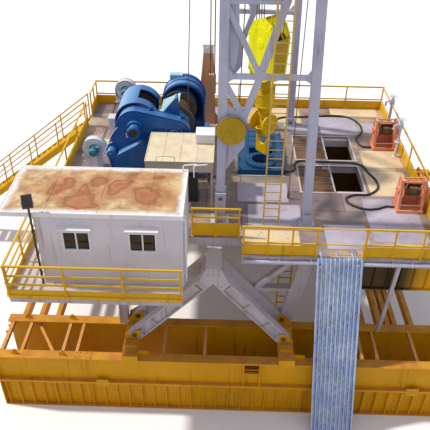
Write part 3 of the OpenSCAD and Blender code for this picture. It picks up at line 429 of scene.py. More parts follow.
def weathered_paint(name, coat, faded, rust="#6b3a1c", dust="#b59a7c", runs=0.25, chips=0.12, dusty=0.4,
                    gloss=0.42, grain=1.0, painted_sunlit_side=None):
    """A coat of paint with fading, rusty runs, chips and dust; the faces towards the sun may get a lighter
    colour, a painted highlight.
    """
    material, tree, shader = new_material(name)
    place = add_node(tree, "TexCoord").outputs["Object"]
    facing = add_node(tree, "NewGeometry").outputs["Normal"]
    upward = add_node(tree, "SeparateXYZ", {0: facing}).outputs[2]

    broad = noise(tree, place, 0.9 * grain, 6.0, 0.6)
    fading = spread(tree, broad, 0.38, 0.68)
    paint = mix(tree, fading, coat, faded)

    # Faces that turn towards the sun are mixed towards a lighter colour: a painted highlight of the sunlit
    # side.
    if painted_sunlit_side:
        sunward = add_node(tree, "VectorMath", {0: facing, 1: (-0.9, -0.1, 0.42)}, operation="DOT_PRODUCT")
        share = spread(tree, sunward.outputs["Value"], 0.3, 0.95, high=0.85)
        paint = mix(tree, share, paint, painted_sunlit_side)

    tall = add_node(tree, "Mapping", {"Vector": place, "Scale": (7.0, 7.0, 0.55)})
    run = noise(tree, tall, grain, 4.0)
    upright = spread(tree, upward, 0.7, 0.3)
    run_share = spread(tree, run, 0.62 - runs * 0.3, 0.86 - runs * 0.2, high=0.75)
    run_here = maths(tree, "MULTIPLY", run_share, upright)
    streaked = mix(tree, run_here, paint, rust)

    spots = noise(tree, place, 7.0 * grain, 9.0, 0.68)
    chip = spread(tree, spots, 0.72 - chips * 0.8, 0.75 - chips * 0.8)
    chipped = mix(tree, chip, streaked, rust)

    silt = noise(tree, place, 2.3 * grain, 7.0)
    level = spread(tree, upward, 0.45, 0.95)
    settled = spread(tree, silt, 0.3, 0.7, dusty * 0.4, min(dusty * 1.7, 1.0))
    dust_here = maths(tree, "MULTIPLY", level, settled)
    colour = mix(tree, dust_here, chipped, dust)

    worn = maths(tree, "MAXIMUM", chip, dust_here)
    rough = spread(tree, worn, low=gloss, high=0.88)
    fine = noise(tree, place, 60.0, 3.0)
    relief = maths(tree, "SUBTRACT", fine, chip)
    bump = dent(tree, relief, 0.25, 0.002)
    fill(shader, {"Base Color": colour, "Roughness": rough, "Normal": bump, "IOR": 1.5,
                  "Specular IOR Level": 0.3})
    return material


print("paint ready")

# %% [markdown]
# The paints follow the rig: yellow for the base and the rails, a cool pale grey for the mast and the legs
# under the floor, blue for the drawworks, white for the cabin, and red lead on the air winches.

# %% Paints of the rig
base_yellow = weathered_paint("yellow_base_paint", "#e4a600", "#d59d02", dust="#b8743a", runs=0.12,
                              chips=0.05, dusty=0.7)
rail_yellow = weathered_paint("yellow_rail_paint", "#e8b400", "#d3a202", dust="#e0bd48", runs=0.08,
                              chips=0.03, dusty=0.3)
bracing_orange = weathered_paint("faded_orange_bracing_paint", "#c98a3a", "#d8a04e", dust="#d89a62",
                                 runs=0.3, chips=0.1)
mast_grey = weathered_paint("pale_mast_paint", "#c2c4d6", "#b2b5cc", rust="#8a6a4e", dust="#cfc6c0",
                            runs=0.12, chips=0.03, dusty=0.25)
leg_grey = weathered_paint("pale_leg_paint", "#c3bfc9", "#b4a69c", rust="#8d6a48", dust="#d2c3b4", runs=0.28,
                           chips=0.05, dusty=0.4)
cabin_white = weathered_paint("white_cabin_paint", "#dcd9de", "#cfcad0", rust="#a98654", dust="#e6dfd4",
                              runs=0.05, chips=-0.02, dusty=0.2)
frame_white = weathered_paint("white_frame_paint", "#f1f0f2", "#e4e2e4", rust="#b08a58", dust="#eee8dc",
                              runs=0.05, chips=-0.02, dusty=0.15)
shelter_cream = weathered_paint("cream_shelter_paint", "#c9bfae", "#b8aa98", rust="#a87945", dust="#efdcb4",
                                runs=0.15, chips=0.01, dusty=0.75)
# The drawworks blue turns a lighter blue on the faces towards the sun, as a painted highlight.
machine_blue = weathered_paint("blue_drawworks_paint", "#0b4a92", "#175a9e", rust="#142c40", dust="#5f93c4",
                               runs=0.05, chips=0.0, dusty=0.35, gloss=0.3, painted_sunlit_side="#8fb9d6")
table_blue = weathered_paint("oily_rotary_paint", "#0c3c6c", "#114c76", rust="#2a2018", dust="#1f5878",
                             runs=0.1, chips=0.1, dusty=0.35, gloss=0.3)
winch_red = weathered_paint("red_lead_winch_paint", "#e4875c", "#f2b290", rust="#a8502c", dust="#f0b48e",
                            runs=0.15, chips=0.06, dusty=0.3)
block_yellow = weathered_paint("lemon_block_paint", "#fbfa00", "#f4ec00", rust="#8a6a1c", dust="#f8f244",
                               runs=0.05, chips=0.0, dusty=0.15, gloss=0.35)
hook_yellow = weathered_paint("golden_hook_paint", "#e6be00", "#d2a400", rust="#7a5a18", dust="#efdc40",
                              runs=0.1, chips=0.03, dusty=0.15, gloss=0.35)
wheel_yellow = weathered_paint("dull_wheel_paint", "#b3930e", "#c29f1c", rust="#5c4a12", dust="#cdb24a",
                               runs=0.1, chips=0.04, dusty=0.2)
ladder_tan = weathered_paint("sun_bleached_ladder_paint", "#dcbc58", "#cba84c", dust="#e2cb8c",
                             runs=0.15, chips=0.05)
post_tan = weathered_paint("rusty_post_paint", "#e6ae80", "#d69c6c", rust="#925a34", dust="#e4bc94",
                           runs=0.22, chips=0.12, dusty=0.3)
motor_teal = weathered_paint("teal_motor_paint", "#2f6f86", "#3f8298", rust="#2a3a40", dust="#7fb0bd",
                             runs=0.05, chips=0.0, dusty=0.3, gloss=0.35)
panel_teal = weathered_paint("pale_teal_panel_paint", "#84aebb", "#9bbcc4", rust="#5d6c6e", dust="#c8dde2",
                             runs=0.1, chips=0.0, dusty=0.4)
slide_paint = weathered_paint("scuffed_slide_paint", "#aabfe2", "#cfdaee", rust="#6d6f7c", dust="#c3cfe4",
                              runs=0.2, chips=0.1, dusty=0.15)
# This yellow later gets a painted shade, almost black, under the setback openings.
girder_paint_with_pit_shade = weathered_paint("painted_shade_girder_paint", "#e4a600", "#d59d02", dust="#b8743a",
                               runs=0.12, chips=0.05)
print("paints:", len(bpy.data.materials))

# %% [markdown]
# The deck is not one colour. Its plates lie in rows with dark joints between them, trodden mud has dried on
# them in tan and pink, and oil has darkened them round the well. Broad patches run from a lilac painted shade
# to a cream painted sunlight. The plates are 1.2 m by 2.4 m.

# %% Deck plates
deck_plate, tree, shader = new_material("trodden_deck_plate")
place = add_node(tree, "TexCoord").outputs["Object"]
# The patches mix mud with painted light: the lilac end is painted shade and the cream end is painted
# sunlight.
patches = noise(tree, place, 0.45, 8.0, 0.62)
mud_and_painted_light = add_node(tree, "ValToRGB", {0: patches})
set_ramp(mud_and_painted_light, (0.34, "#736c78"), (0.68, "#dcbf98"), (0.5, "#9f8c82"))
plates = add_node(tree, "TexBrick",
                  {"Vector": place, "Color1": "#ffffff", "Color2": "#d2cbd0", "Mortar": "#5a4c46",
                   "Scale": 1.0, "Mortar Size": 0.012, "Brick Width": 2.4, "Row Height": 1.2}, offset=0.5)
laid = mix(tree, 0.85, mud_and_painted_light, plates, blend_type="MULTIPLY")
spots = noise(tree, place, 1.6, 9.0, 0.7)
rusty = spread(tree, spots, 0.58, 0.7, high=0.7)
stained = mix(tree, rusty, laid, "#8c5436")
from_well = add_node(tree, "VectorMath", {0: place, 1: tuple(at(0.4, -0.4, FLOOR))}, operation="DISTANCE")
oil = spread(tree, from_well.outputs["Value"], 3.2, 0.8, high=0.4)
oiled = mix(tree, oil, stained, "#4c4442")
rough = spread(tree, spots, low=0.45, high=0.95)
tread = add_node(tree, "TexVoronoi", {"Vector": place, "Scale": 34.0}, feature="SMOOTH_F1")
bump = dent(tree, tread, 0.2, 0.002)
fill(shader, {"Base Color": oiled, "Roughness": rough, "Normal": bump})
print(deck_plate.name)

# %% [markdown]
# The cabin roof was once cream. Standing rain has left brown rings in its hollows, which a distorted
# distance pattern draws, and a clean white band runs round its edge.

# %% Stained cabin roof
ROOF_X = (-7.45, -2.48)
ROOF_Y = (-6.94, -4.54)

roof_paint, tree, shader = new_material("rain_stained_roof_paint")
place = add_node(tree, "NewGeometry").outputs["Position"]
wander = noise(tree, place, 1.1, 6.0)
bent = add_node(tree, "VectorMath", {0: wander.outputs["Color"], 1: (1.3, 1.3, 1.3), 2: place},
                operation="MULTIPLY_ADD")
pools = add_node(tree, "TexVoronoi", {"Vector": bent, "Scale": 0.95})
ring = add_node(tree, "ValToRGB", {0: pools.outputs["Distance"]})
set_ramp(ring, (0.1, "#a9683f"), (0.75, "#d8bb8b"), (0.24, "#b87c50"), (0.34, "#955832"), (0.41, "#bf8a5a"),
         (0.6, "#cba272"))
dirt = noise(tree, place, 3.0, 9.0, 0.7)
dirt_share = spread(tree, dirt, 0.42, 0.66, high=0.8)
dirty = mix(tree, dirt_share, ring, "#8e6238")
axes = add_node(tree, "SeparateXYZ", {0: place})
low, high = at(ROOF_X[0], ROOF_Y[0]), at(ROOF_X[1], ROOF_Y[1])
gaps = [maths(tree, "SUBTRACT", axes.outputs[i], low[i]) for i in (0, 1)]
gaps += [maths(tree, "SUBTRACT", high[i], axes.outputs[i]) for i in (0, 1)]
nearest = gaps[0]
for gap in gaps[1:]:
    nearest = maths(tree, "MINIMUM", nearest, gap)
ragged = maths(tree, "MULTIPLY_ADD", dirt, -0.5, nearest)
clean = spread(tree, ragged, -0.02, -0.2)
edged = mix(tree, clean, dirty, "#e9e4df")
bump = dent(tree, dirt, 0.2, 0.004)
fill(shader, {"Base Color": edged, "Roughness": 0.7, "Normal": bump})
print(roof_paint.name)

# %% [markdown]
# Bare steel keeps its metal under a film of grease and rust, the wire ropes are greased and laid in
# strands, and the planks of the setback are soaked brown wood with their grain along the boards.

# %% Bare steel and wire rope
bare_steel, tree, shader = new_material("greasy_worn_steel")
place = add_node(tree, "TexCoord").outputs["Object"]
rust = noise(tree, place, 5.0, 9.0, 0.7)
share = spread(tree, rust, 0.42, 0.6)
colour = mix(tree, share, "#7d7a76", "#5a4032")
metal = spread(tree, share, low=1.0, high=0.0)
rough = spread(tree, share, low=0.35, high=0.85)
bump = dent(tree, rust, 0.3, 0.003)
fill(shader, {"Base Color": colour, "Metallic": metal, "Roughness": rough, "Normal": bump})

wire_rope, tree, shader = new_material("greased_wire_rope")
place = add_node(tree, "TexCoord").outputs["Object"]
strands = add_node(tree, "TexWave", {"Vector": place, "Scale": 18.0, "Distortion": 0.6},
                   bands_direction="DIAGONAL")
colour = mix(tree, strands.outputs["Fac"], "#4a3c30", "#8a6f50")
bump = dent(tree, strands.outputs["Fac"], 0.6, 0.003)
fill(shader, {"Base Color": colour, "Normal": bump, "Metallic": 0.6, "Roughness": 0.5})
print(bare_steel.name, wire_rope.name)

# %% Setback planks
plank_wood, tree, shader = new_material("soaked_plank_wood")
place = add_node(tree, "TexCoord").outputs["Object"]
grain_space = add_node(tree, "Mapping", {"Vector": place, "Scale": (1.2, 22.0, 22.0)})
grain = add_node(tree, "TexNoise", {"Vector": grain_space, "Scale": 1.0, "Detail": 6.0, "Distortion": 0.4})
wood = add_node(tree, "ValToRGB", {0: grain})
set_ramp(wood, (0.3, "#2e1d14"), (0.72, "#a0724a"))
boards = add_node(tree, "SeparateXYZ", {0: place})
row = maths(tree, "DIVIDE", boards.outputs[1], 0.19)
number = maths(tree, "FLOOR", row)
pick = add_node(tree, "TexWhiteNoise", {"W": number}, noise_dimensions="1D")
tone = spread(tree, pick, low=0.55, high=1.1)
board_tone = add_node(tree, "CombineXYZ", {0: tone, 1: tone, 2: tone})
board = mix(tree, 1.0, wood, board_tone, blend_type="MULTIPLY")
bump = dent(tree, grain, 0.5, 0.004)
fill(shader, {"Base Color": board, "Normal": bump, "Roughness": 0.75, "IOR": 1.5})
print(plank_wood.name)

# %% [markdown]
# The windows are dark tinted glass with an IOR of 1.5. A dry film of dust lies on the panes in patches, and
# they are a little rougher there. The floodlight and the console are black enamel, dulled by dust.

# %% Window glass and black enamel
window_glass, tree, shader = new_material("dusty_window_glass")
place = add_node(tree, "TexCoord").outputs["Object"]
film = noise(tree, place, 4.0, 6.0)
share = spread(tree, film, 0.45, 0.7)
colour = mix(tree, share, "#15110e", "#3d3326")
rough = spread(tree, share, low=0.04, high=0.25)
fill(shader, {"Base Color": colour, "Roughness": rough, "IOR": 1.5})

lamp_enamel, tree, shader = new_material("black_lamp_enamel")
place = add_node(tree, "TexCoord").outputs["Object"]
dust = noise(tree, place, 12.0, 5.0)
colour = mix(tree, dust, "#1b1c1f", "#3f3c3a")
fill(shader, {"Base Color": colour, "Roughness": 0.5, "IOR": 1.5})
print(window_glass.name, lamp_enamel.name)

# %% [markdown]
# Two finishes get one more layer. The girder under the setback is painted almost black below its openings, as
# painted shade, and the grooves of the slide, which repeat with its ribs, are darkened with painted shade and
# dirt.

# %% Painted shade under the setback, and painted shade and dirt in the grooves
SLIDE_X = 2.25
SLIDE_WIDTH = 1.37
SLIDE_RIBS = 10
SLIDE_ROLL = math.radians(2.4)


def lay_colour_over(material, share, shade):
    """Lays one more colour over a finished paint, as strong as the share says."""
    tree = material.node_tree
    shader = tree.nodes["Principled BSDF"]
    under = shader.inputs["Base Color"].links[0].from_socket
    stained = mix(tree, share, under, shade)
    fill(shader, {"Base Color": stained})


# Under the setback openings the girder is painted almost black: a painted shade of the dark pit below.
tree = girder_paint_with_pit_shade.node_tree
place = add_node(tree, "NewGeometry").outputs["Position"]
axes = add_node(tree, "SeparateXYZ", {0: place})
painted_pit_shade = spread(tree, axes.outputs[0], at(5.2, 0)[0], at(4.6, 0)[0], high=0.93)
lay_colour_over(girder_paint_with_pit_shade, painted_pit_shade, "#1c1611")

tree = slide_paint.node_tree
place = add_node(tree, "NewGeometry").outputs["Position"]
axes = add_node(tree, "SeparateXYZ", {0: place})
rolled = maths(tree, "MULTIPLY_ADD", axes.outputs[2], math.tan(SLIDE_ROLL), axes.outputs[0])
start = at(SLIDE_X - SLIDE_WIDTH / 2, 0)[0] + FLOOR * math.tan(SLIDE_ROLL)
across = maths(tree, "SUBTRACT", rolled, start)
rib = maths(tree, "PINGPONG", across, SLIDE_WIDTH / SLIDE_RIBS / 2)
scuffs = add_node(tree, "Mapping", {"Vector": place, "Scale": (9.0, 3.0, 3.0)})
wander = noise(tree, scuffs, 1.5, 8.0, 0.7)
hollow = spread(tree, rib, 0.026, 0.036, high=0.95)
shore = spread(tree, rib, 0.062, 0.044)
edge = maths(tree, "MULTIPLY", hollow, shore)
broken = spread(tree, wander, 0.42, 0.56, low=0.12)
# The grooves between the ribs are darkened: painted shade of the hollows together with dirt, broken along
# their length.
dirt = maths(tree, "MULTIPLY", edge, broken)
lay_colour_over(slide_paint, dirt, "#434a58")
print("stained:", girder_paint_with_pit_shade.name, slide_paint.name)

# %% [markdown]
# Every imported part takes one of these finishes. The list names the parts by what they are painted with.

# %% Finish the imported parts
PAINTED = {
    "base_outer_near base_inner_near base_outer_far base_inner_far base_spreaders cellar_ladder": base_yellow,
    "setback_girder": girder_paint_with_pit_shade,
    "base_struts_near base_struts_far": bracing_orange,
    "legs_near_outer legs_near_inner legs_far_outer legs_far_inner floor_frame cabin_floor": leg_grey,
    "mast_near_side mast_far_side mast_back_bracing mast_shoes mast_pedestals crown_frame": mast_grey,
    "rails_front rails_sides rails_back rails_cabin stair racking_board": rail_yellow,
    "mast_ladder": ladder_tan,
    "floor_deck": deck_plate,
    "setback_planks": plank_wood,
    "rotary_table": table_blue,
    "drawworks_skid drawworks_chain_case drawworks_covers": machine_blue,
    "drawworks_drum crown_sheaves block_sheaves": bare_steel,
    "block_housing": block_yellow,
    "hook_body hook_swivel": hook_yellow,
    "deadline_anchor": wheel_yellow,
    "drilling_lines fast_line dead_line hoist_lines": wire_rope,
    "driller_shelter": shelter_cream,
    "cabin_walls blowers floor_fittings": cabin_white,
    "cabin_glass": window_glass,
    "cabin_roof": roof_paint,
    "cabin_lights": lamp_enamel,
    "hoist_post": post_tan,
    "tugger_frames tugger_drum_near tugger_drum_far": winch_red,
    "slide": slide_paint,
}
for names, finish in PAINTED.items():
    for name in names.split():
        nodes[name].data.materials.clear()
        nodes[name].data.materials.append(finish)
print("finished parts:", sum(len(names.split()) for names in PAINTED))

# %% [markdown]
# ## The base
# The base boxes are bolted together from sections. Lap plates cover their joints, a row of bolts runs
# along the seam, and lifting eyes stand on the top flanges. Both boxes are alike, so each loop runs once
# for the near side and once for the far side.

# %% Lap plates and seam bolts of the base
BASE_TOP = 2.5
WEB_FACE = 6.3475
OUTER_FLANGE, INNER_FLANGE = 6.325, 4.65
SEAM = 1.3
JOINTS = (-6.0, -0.95, 4.9)
STIFFENERS = [-8.6 + i * 0.43 for i in range(41)]
SIDES = (-1, 1)

for side in SIDES:
    for x in JOINTS:
        y = side * WEB_FACE
        for low, high in ((SEAM + 0.05, BASE_TOP - 0.05), (0.06, SEAM - 0.05)):
            add_block((x - 0.13, y, low), (x + 0.13, y + side * 0.014, high))
            for column in (-0.08, 0.08):
                rows = [low + 0.1 + i * (high - low - 0.2) / 6 for i in range(7)]
                add_bolts([(x + column, y + side * 0.014, z) for z in rows], side * Y, 0.02)
        add_block((x - 0.3, side * (OUTER_FLANGE + 0.165), BASE_TOP),
                  (x + 0.3, side * (OUTER_FLANGE - 0.165), BASE_TOP + 0.014))
        add_bolts([(x + dx, side * (OUTER_FLANGE + dy), BASE_TOP + 0.014)
                   for dx in (-0.23, -0.12, 0.12, 0.23) for dy in (-0.1, 0.1)], Z, 0.022)
finish_piece("base_lap_plates", base_yellow, base=0)

for side in SIDES:
    add_bolts([(x, side * 6.45, SEAM + 0.045) for x in STIFFENERS], Z, 0.02)
    for x in (-5.62, 5.05, 7.9):
        add_block((x, side * 6.47, SEAM + 0.045), (x + 0.42, side * 6.5, SEAM + 0.17))
        add_block((x, side * 6.47, SEAM - 0.2), (x + 0.42, side * 6.5, SEAM - 0.045))
finish_piece("base_seam_bolts", base_yellow, base=0)

# %% Lifting eyes, welds and end fittings of the base


def add_eye(place, across, size=0.16, thickness=0.03):
    """A lifting eye: a plate with a rounded top and a pin hole, standing on a flange."""
    place, across = Vector(place), Vector(across)
    outline = [(-size * 0.8, 0), (size * 0.8, 0)]
    outline += [(u, size * 0.9 + v) for u, v in (polar(size / 2, a) for a in range(0, 181, 20))]
    through = across.cross(Z).normalized()
    add_plate(outline, place - through * thickness / 2, across, Z, thickness)
    middle = place + Vector((0, 0, size * 0.9)) - through * (thickness / 2 + 0.012)
    add_turned([(size * 0.18, 0), (size * 0.32, 0), (size * 0.32, thickness + 0.024),
                (size * 0.18, thickness + 0.024)], middle, through, 14)


for side in SIDES:
    for y in (OUTER_FLANGE, INNER_FLANGE):
        for x in (-8.3, -6.7, 2.2, 6.2, 8.4):
            add_eye((x, side * y, BASE_TOP), X)
    for end in SIDES:
        for y in (6.05, 5.2, 4.9):
            for z in (0.35, 2.15):
                add_block((end * 8.99, side * y, z), (end * 8.86, side * (y - 0.04), z + 0.22))
        add_tube((end * 8.93, side * 6.1, 2.26), (end * 8.93, side * 4.8, 2.26), 0.035)
finish_piece("base_lifting_eyes", base_yellow, base=0)

for side in SIDES:
    y = side * (WEB_FACE + 0.003)
    for z in (0.052, BASE_TOP - 0.052, SEAM + 0.052):
        add_tube((-8.95, y, z), (8.95, y, z), 0.009, 6)
    for x in STIFFENERS:
        add_tube((x + 0.02, y, 0.06), (x + 0.02, y, 1.24), 0.007, 5)
finish_piece("base_weld_seams", base_yellow, bevel=0, base=0)

# %% [markdown]
# A foot hole is cut in the web of each base, as a step for climbing. Flat bars frame it, and a rung
# crosses it.

# %% Foot holes
for side in SIDES:
    y = side * (WEB_FACE + 0.012)
    for x in (-0.55, -0.03):
        add_bar((x, y, 1.86), (x, y, 2.32), 0.035, 0.05, Y)
    for z in (1.87, 2.06, 2.31):
        add_bar((-0.57, y, z), (-0.01, y, z), 0.03, 0.05, Y)
finish_piece("base_foot_holes", base_yellow, base=0)

# %% [markdown]
# Each of the four braced legs stands in a yellow shoe on the base. A clevis and a thick pin hold the
# leg's foot, and gusset plates with bolts stiffen the head of each frame under the floor.

# %% Shoes and pins of the legs
LEG_FEET = (-4.4, 0.85)
APEX = (-1.65, 5.64)
PEDESTAL_TOP = 2.7

for side in SIDES:
    for x in LEG_FEET:
        lean = 1 if x < APEX[0] else -1
        for y in (5.73, 5.36, 4.81, 4.49):
            outline = [(-0.24, 0), (0.24, 0), (0.24 + lean * 0.02, 0.2), (0.14 + lean * 0.2, 0.46),
                       (-0.04 + lean * 0.2, 0.46), (-0.24, 0.16)]
            add_plate(outline, (x, side * y, PEDESTAL_TOP), X, Z, 0.03)
        inner, outer = side * 4.49, side * 6.482
        for face in (-0.25, 0.25):
            add_block((x + face - 0.012, inner, BASE_TOP), (x + face + 0.012, outer, PEDESTAL_TOP + 0.004))
        add_block((x - 0.27, side * 6.465, 2.36), (x + 0.27, side * 6.505, PEDESTAL_TOP + 0.02))
        add_block((x - 0.25, inner, PEDESTAL_TOP), (x + 0.25, outer, PEDESTAL_TOP + 0.012))
        wedge = [(0.26, 0), (0.62, -0.02), (0.62, -0.3), (0.26, -0.34)]
        add_plate(wedge, (x, side * 6.2, PEDESTAL_TOP), X, Z, 0.03)
        for k in range(3):
            add_bar((x - 0.2, side * (6.4 - k * 0.3), PEDESTAL_TOP + 0.02),
                    (x + 0.2, side * (6.4 - k * 0.3), PEDESTAL_TOP + 0.02), 0.04, 0.03)
        add_block((x - 0.2, side * 6.1, PEDESTAL_TOP), (x + 0.2, side * 5.8, PEDESTAL_TOP + 0.1))
        add_bolts([(x + dx, side * 5.95, PEDESTAL_TOP + 0.1) for dx in (-0.12, 0.12)], Z, 0.028)
finish_piece("leg_shoes", base_yellow, base=0)

for side in SIDES:
    for x in LEG_FEET:
        lean = 1 if x < APEX[0] else -1
        for start, end in ((5.78, 5.33), (4.86, 4.45)):
            place = Vector((x + lean * 0.1, side * start, PEDESTAL_TOP + 0.27))
            add_turned([(0, -0.03), (0.085, -0.03), (0.085, 0), (0.06, 0.01), (0.06, start - end - 0.02),
                        (0, start - end)], place, -side * Y, 20)
finish_piece("leg_pins", bare_steel, bevel=0.002, base=0)

# %% Gussets of the legs
for side in SIDES:
    outline = [(-0.52, -0.36), (-0.25, 0.3), (0.25, 0.3), (0.52, -0.36), (0.3, -0.62),
               (0, -0.3), (-0.3, -0.62)]
    for y in (5.703, 5.388):
        add_plate(outline, (APEX[0], side * y, APEX[1]), X, Z, 0.012)
    rows = [(dx, dz) for dz in (0.2, 0.05) for dx in (-0.16, 0, 0.16)]
    rows += [(-0.36, -0.32), (-0.26, -0.44), (0.36, -0.32), (0.26, -0.44)]
    add_bolts([(APEX[0] + dx, side * 5.715, APEX[1] + dz) for dx, dz in rows], side * Y, 0.024)
    for foot in LEG_FEET:
        along = Vector((foot, 0, PEDESTAL_TOP)) - Vector((APEX[0], 0, APEX[1]))
        across = Vector((along.z, 0, -along.x)).normalized()
        for share in (0.18, 0.45, 0.72):
            middle = Vector((APEX[0], side * 5.66, APEX[1])) + along * share
            add_bar(middle - across * 0.168, middle + across * 0.168, 0.02, 0.07, Y)
finish_piece("leg_gussets", leg_grey, base=0)

# %% [markdown]
# ## The rig floor
# A pale pipe runs along the front edge of the floor in clamps. Flat bars frame the two openings of the
# setback, odd plates patch the deck, and strips of grating lie along the front on both sides of the slide.

# %% Edge pipe of the floor
EDGE_Y = -5.48

add_tube((-0.72, EDGE_Y, -0.2), (5.6, EDGE_Y, -0.2), 0.057, 20)
for x in (-0.7, 2.05, 5.58):
    add_turned([(0.095, 0), (0.095, 0.03)], (x, EDGE_Y, -0.2), X, 20)
for x in (0.35, 1.35, 2.9, 3.9, 4.5, 5.2):
    add_turned([(0.075, 0), (0.075, 0.06)], (x, EDGE_Y, -0.2), X, 16)
    add_block((x, EDGE_Y, -0.13), (x + 0.06, -5.4, -0.115))
finish_piece("edge_pipe", mast_grey, bevel=0)

# %% Frames of the setback openings
PIT_X = (1.4, 3.75)
PITS = ((-1.75, 0.15), (0.57, 2.55))

for low, high in PITS:
    for y in (low, high):
        add_block((PIT_X[0] - 0.06, y - 0.03, 0), (PIT_X[1] + 0.06, y + 0.03, 0.014))
    for x in PIT_X:
        add_block((x - 0.03, low, 0), (x + 0.03, high, 0.012))
    add_block((2.6, low, -0.004), (2.65, high, 0.05))
finish_piece("setback_frames", leg_grey)

# The patch plates carry painted light: their cream stands for sunlit patches of the deck and their lilac for
# painted shade, under real chips, rust and dust.
sunlit_patch_paint = weathered_paint("painted_sunlight_patch_plate", "#cbb08c", "#ead6b2", rust="#96542c", dust="#e6cfa6",
                              runs=0, chips=0.14, dusty=0.4)
shaded_patch_paint = weathered_paint("painted_shade_patch_plate", "#9691a2", "#bdb9c8", rust="#6f5245", dust="#bfb0b2",
                              runs=0, chips=0.13, dusty=0.3)
print("patch plates:", sunlit_patch_paint.name, shaded_patch_paint.name)

# %% Patch plates on the deck


def patch_deck(name, finish, plates):
    """Thin plates welded on the deck; each is given by its two corners, in metres from the well."""
    for x0, y0, x1, y1 in plates:
        add_block((x0, y0, 0), (x1, y1, 0.01))
        add_bolts([(x, y, 0.01) for x in (x0 + 0.06, x1 - 0.06) for y in (y0 + 0.06, y1 - 0.06)], Z, 0.012)
    finish_piece(name, finish, bevel=0.002)


# Lilac plates lie where the deck is in painted shade, and cream plates where it is in painted sunlight.
patch_deck("painted_shade_deck_plates", shaded_patch_paint,
           [(2.65, 2.75, 4.25, 4.35), (4.35, 2.9, 5.2, 3.8), (1.95, -5.0, 3.35, -3.7),
            (3.5, -4.6, 5.3, -2.1), (-0.55, -3.9, 1.25, -2.6), (-0.9, -2.45, 0.9, -1.2),
            (1.2, 2.7, 2.5, 3.5), (-2.4, 3.3, -1.1, 5.0)])
patch_deck("painted_sunlight_deck_plates", sunlit_patch_paint,
           [(-0.7, -5.3, 1.1, -4.1), (3.9, -1.9, 5.4, -0.2), (4.0, 0.1, 5.5, 1.4),
            (0.2, 3.7, 1.9, 5.2), (3.3, 4.5, 5.4, 5.3), (-6.9, -3.9, -4.3, -2.5), (-7.0, 0.4, -6.1, 1.9)])

# %% Front grating
GRATING_PITCH = 0.035

for x0, x1 in ((3.02, 5.5), (-0.7, 1.5)):
    for i in range(int((x1 - x0) / GRATING_PITCH)):
        x = x0 + i * GRATING_PITCH
        add_block((x, -5.3, 0), (x + 0.006, -4.98, 0.028))
    for y in (-5.3, -5.2, -5.1, -4.98):
        add_block((x0, y, 0), (x1, y + 0.006, 0.03))
finish_piece("front_grating", rail_yellow, bevel=0)

# %% [markdown]
# The rotary table gets the rings of its master bushing, a circle of bolts, its lock lever and the ribbed
# edge of its deck plate.

# %% Rotary table
TABLE_TOP = 0.3

add_turned([(0.349, 0), (0.56, 0), (0.56, 0.03), (0.52, 0.045), (0.36, 0.045), (0.349, 0.03)],
           (0, 0, TABLE_TOP), steps=48)
add_bolts(circle((0, 0, TABLE_TOP + 0.045), 0.46, 16, up=Y), Z, 0.022)
for x in (-0.82, 0.82):
    for y in (-0.58, 0.1, 0.8, 1.5, 2.2):
        add_eye((x, y, 0.22), Y, 0.09, 0.02)
add_bar((0.5, -0.3, TABLE_TOP - 0.01), (0.86, -0.5, TABLE_TOP + 0.03), 0.05, 0.03)
for y in (0.75, 1.15, 1.55, 1.95):
    add_block((-0.46, y, 0.46), (0.46, y + 0.04, 0.475))
add_turned([(0.2, 0), (0.2, 0.2), (0.12, 0.24), (0.12, 0.4), (0, 0.4)], (0, 2.19, 0.33), Y, 24)
finish_piece("rotary_fittings", table_blue)

for i in range(22):
    x = -0.87 + i * 0.081
    add_block((x, -0.72, 0), (x + 0.04, -0.655, 0.02))
add_block((-0.89, -0.76, 0), (0.89, -0.72, 0.03))
finish_piece("rotary_step", panel_teal)

# %% [markdown]
# ## The mast
# The two sides of the mast lean towards each other, so their fittings are placed along the slope: by the
# height up the leg, and the distance outwards from the middle of the frame. The legs come in sections that
# meet in bolted splices, and gusset plates join the braces to them.

# %% Places on the leaning sides
CROWN = 30.0
MAST_FOOT, MAST_TOP = 3.57, 1.15
LEAN = math.atan((MAST_FOOT - MAST_TOP) / CROWN)
LEVELS = [4.93 + i * 5.014 for i in range(6)]
BACK_LEG = -1.5
FRONT_FOOT, FRONT_TOP = 1.39, 1.08
KNEE = LEVELS[1]
CHORD_FACE, BRACE_FACE = 0.141, 0.071


def front_leg(height):
    """Where the front leg stands at a height over the floor."""
    return FRONT_TOP if height > KNEE else FRONT_FOOT - (FRONT_FOOT - FRONT_TOP) * height / KNEE


def on_side(side, x, height, out):
    """A point of the near (-1) or far (1) side of the mast."""
    along = height / math.cos(LEAN)
    y = MAST_FOOT - along * math.sin(LEAN) + out * math.cos(LEAN)
    return Vector((x, side * y, along * math.cos(LEAN) + out * math.sin(LEAN)))


def outward(side):
    """The direction out of a side of the mast."""
    return Vector((0, side * math.cos(LEAN), math.sin(LEAN)))


print("mast leans", round(math.degrees(LEAN), 2), "degrees")

# %% Splices of the mast legs
for side in SIDES:
    up = on_side(side, 0, 1, 0) - on_side(side, 0, 0, 0)
    for height in LEVELS[:5]:
        for x in (BACK_LEG, front_leg(height + 0.9)):
            middle = on_side(side, x, height + 0.9, CHORD_FACE)
            add_plate([(-0.115, -0.33), (0.115, -0.33), (0.115, 0.33), (-0.115, 0.33)],
                      middle, X, up, -0.014 * side)
            spots = [middle + outward(side) * 0.014 + dx * X + up.normalized() * dz
                     for dx in (-0.075, 0.075) for dz in (-0.27, -0.16, -0.05, 0.05, 0.16, 0.27)]
            add_bolts(spots, outward(side), 0.016)
finish_piece("mast_splices", mast_grey, bevel=0.002)

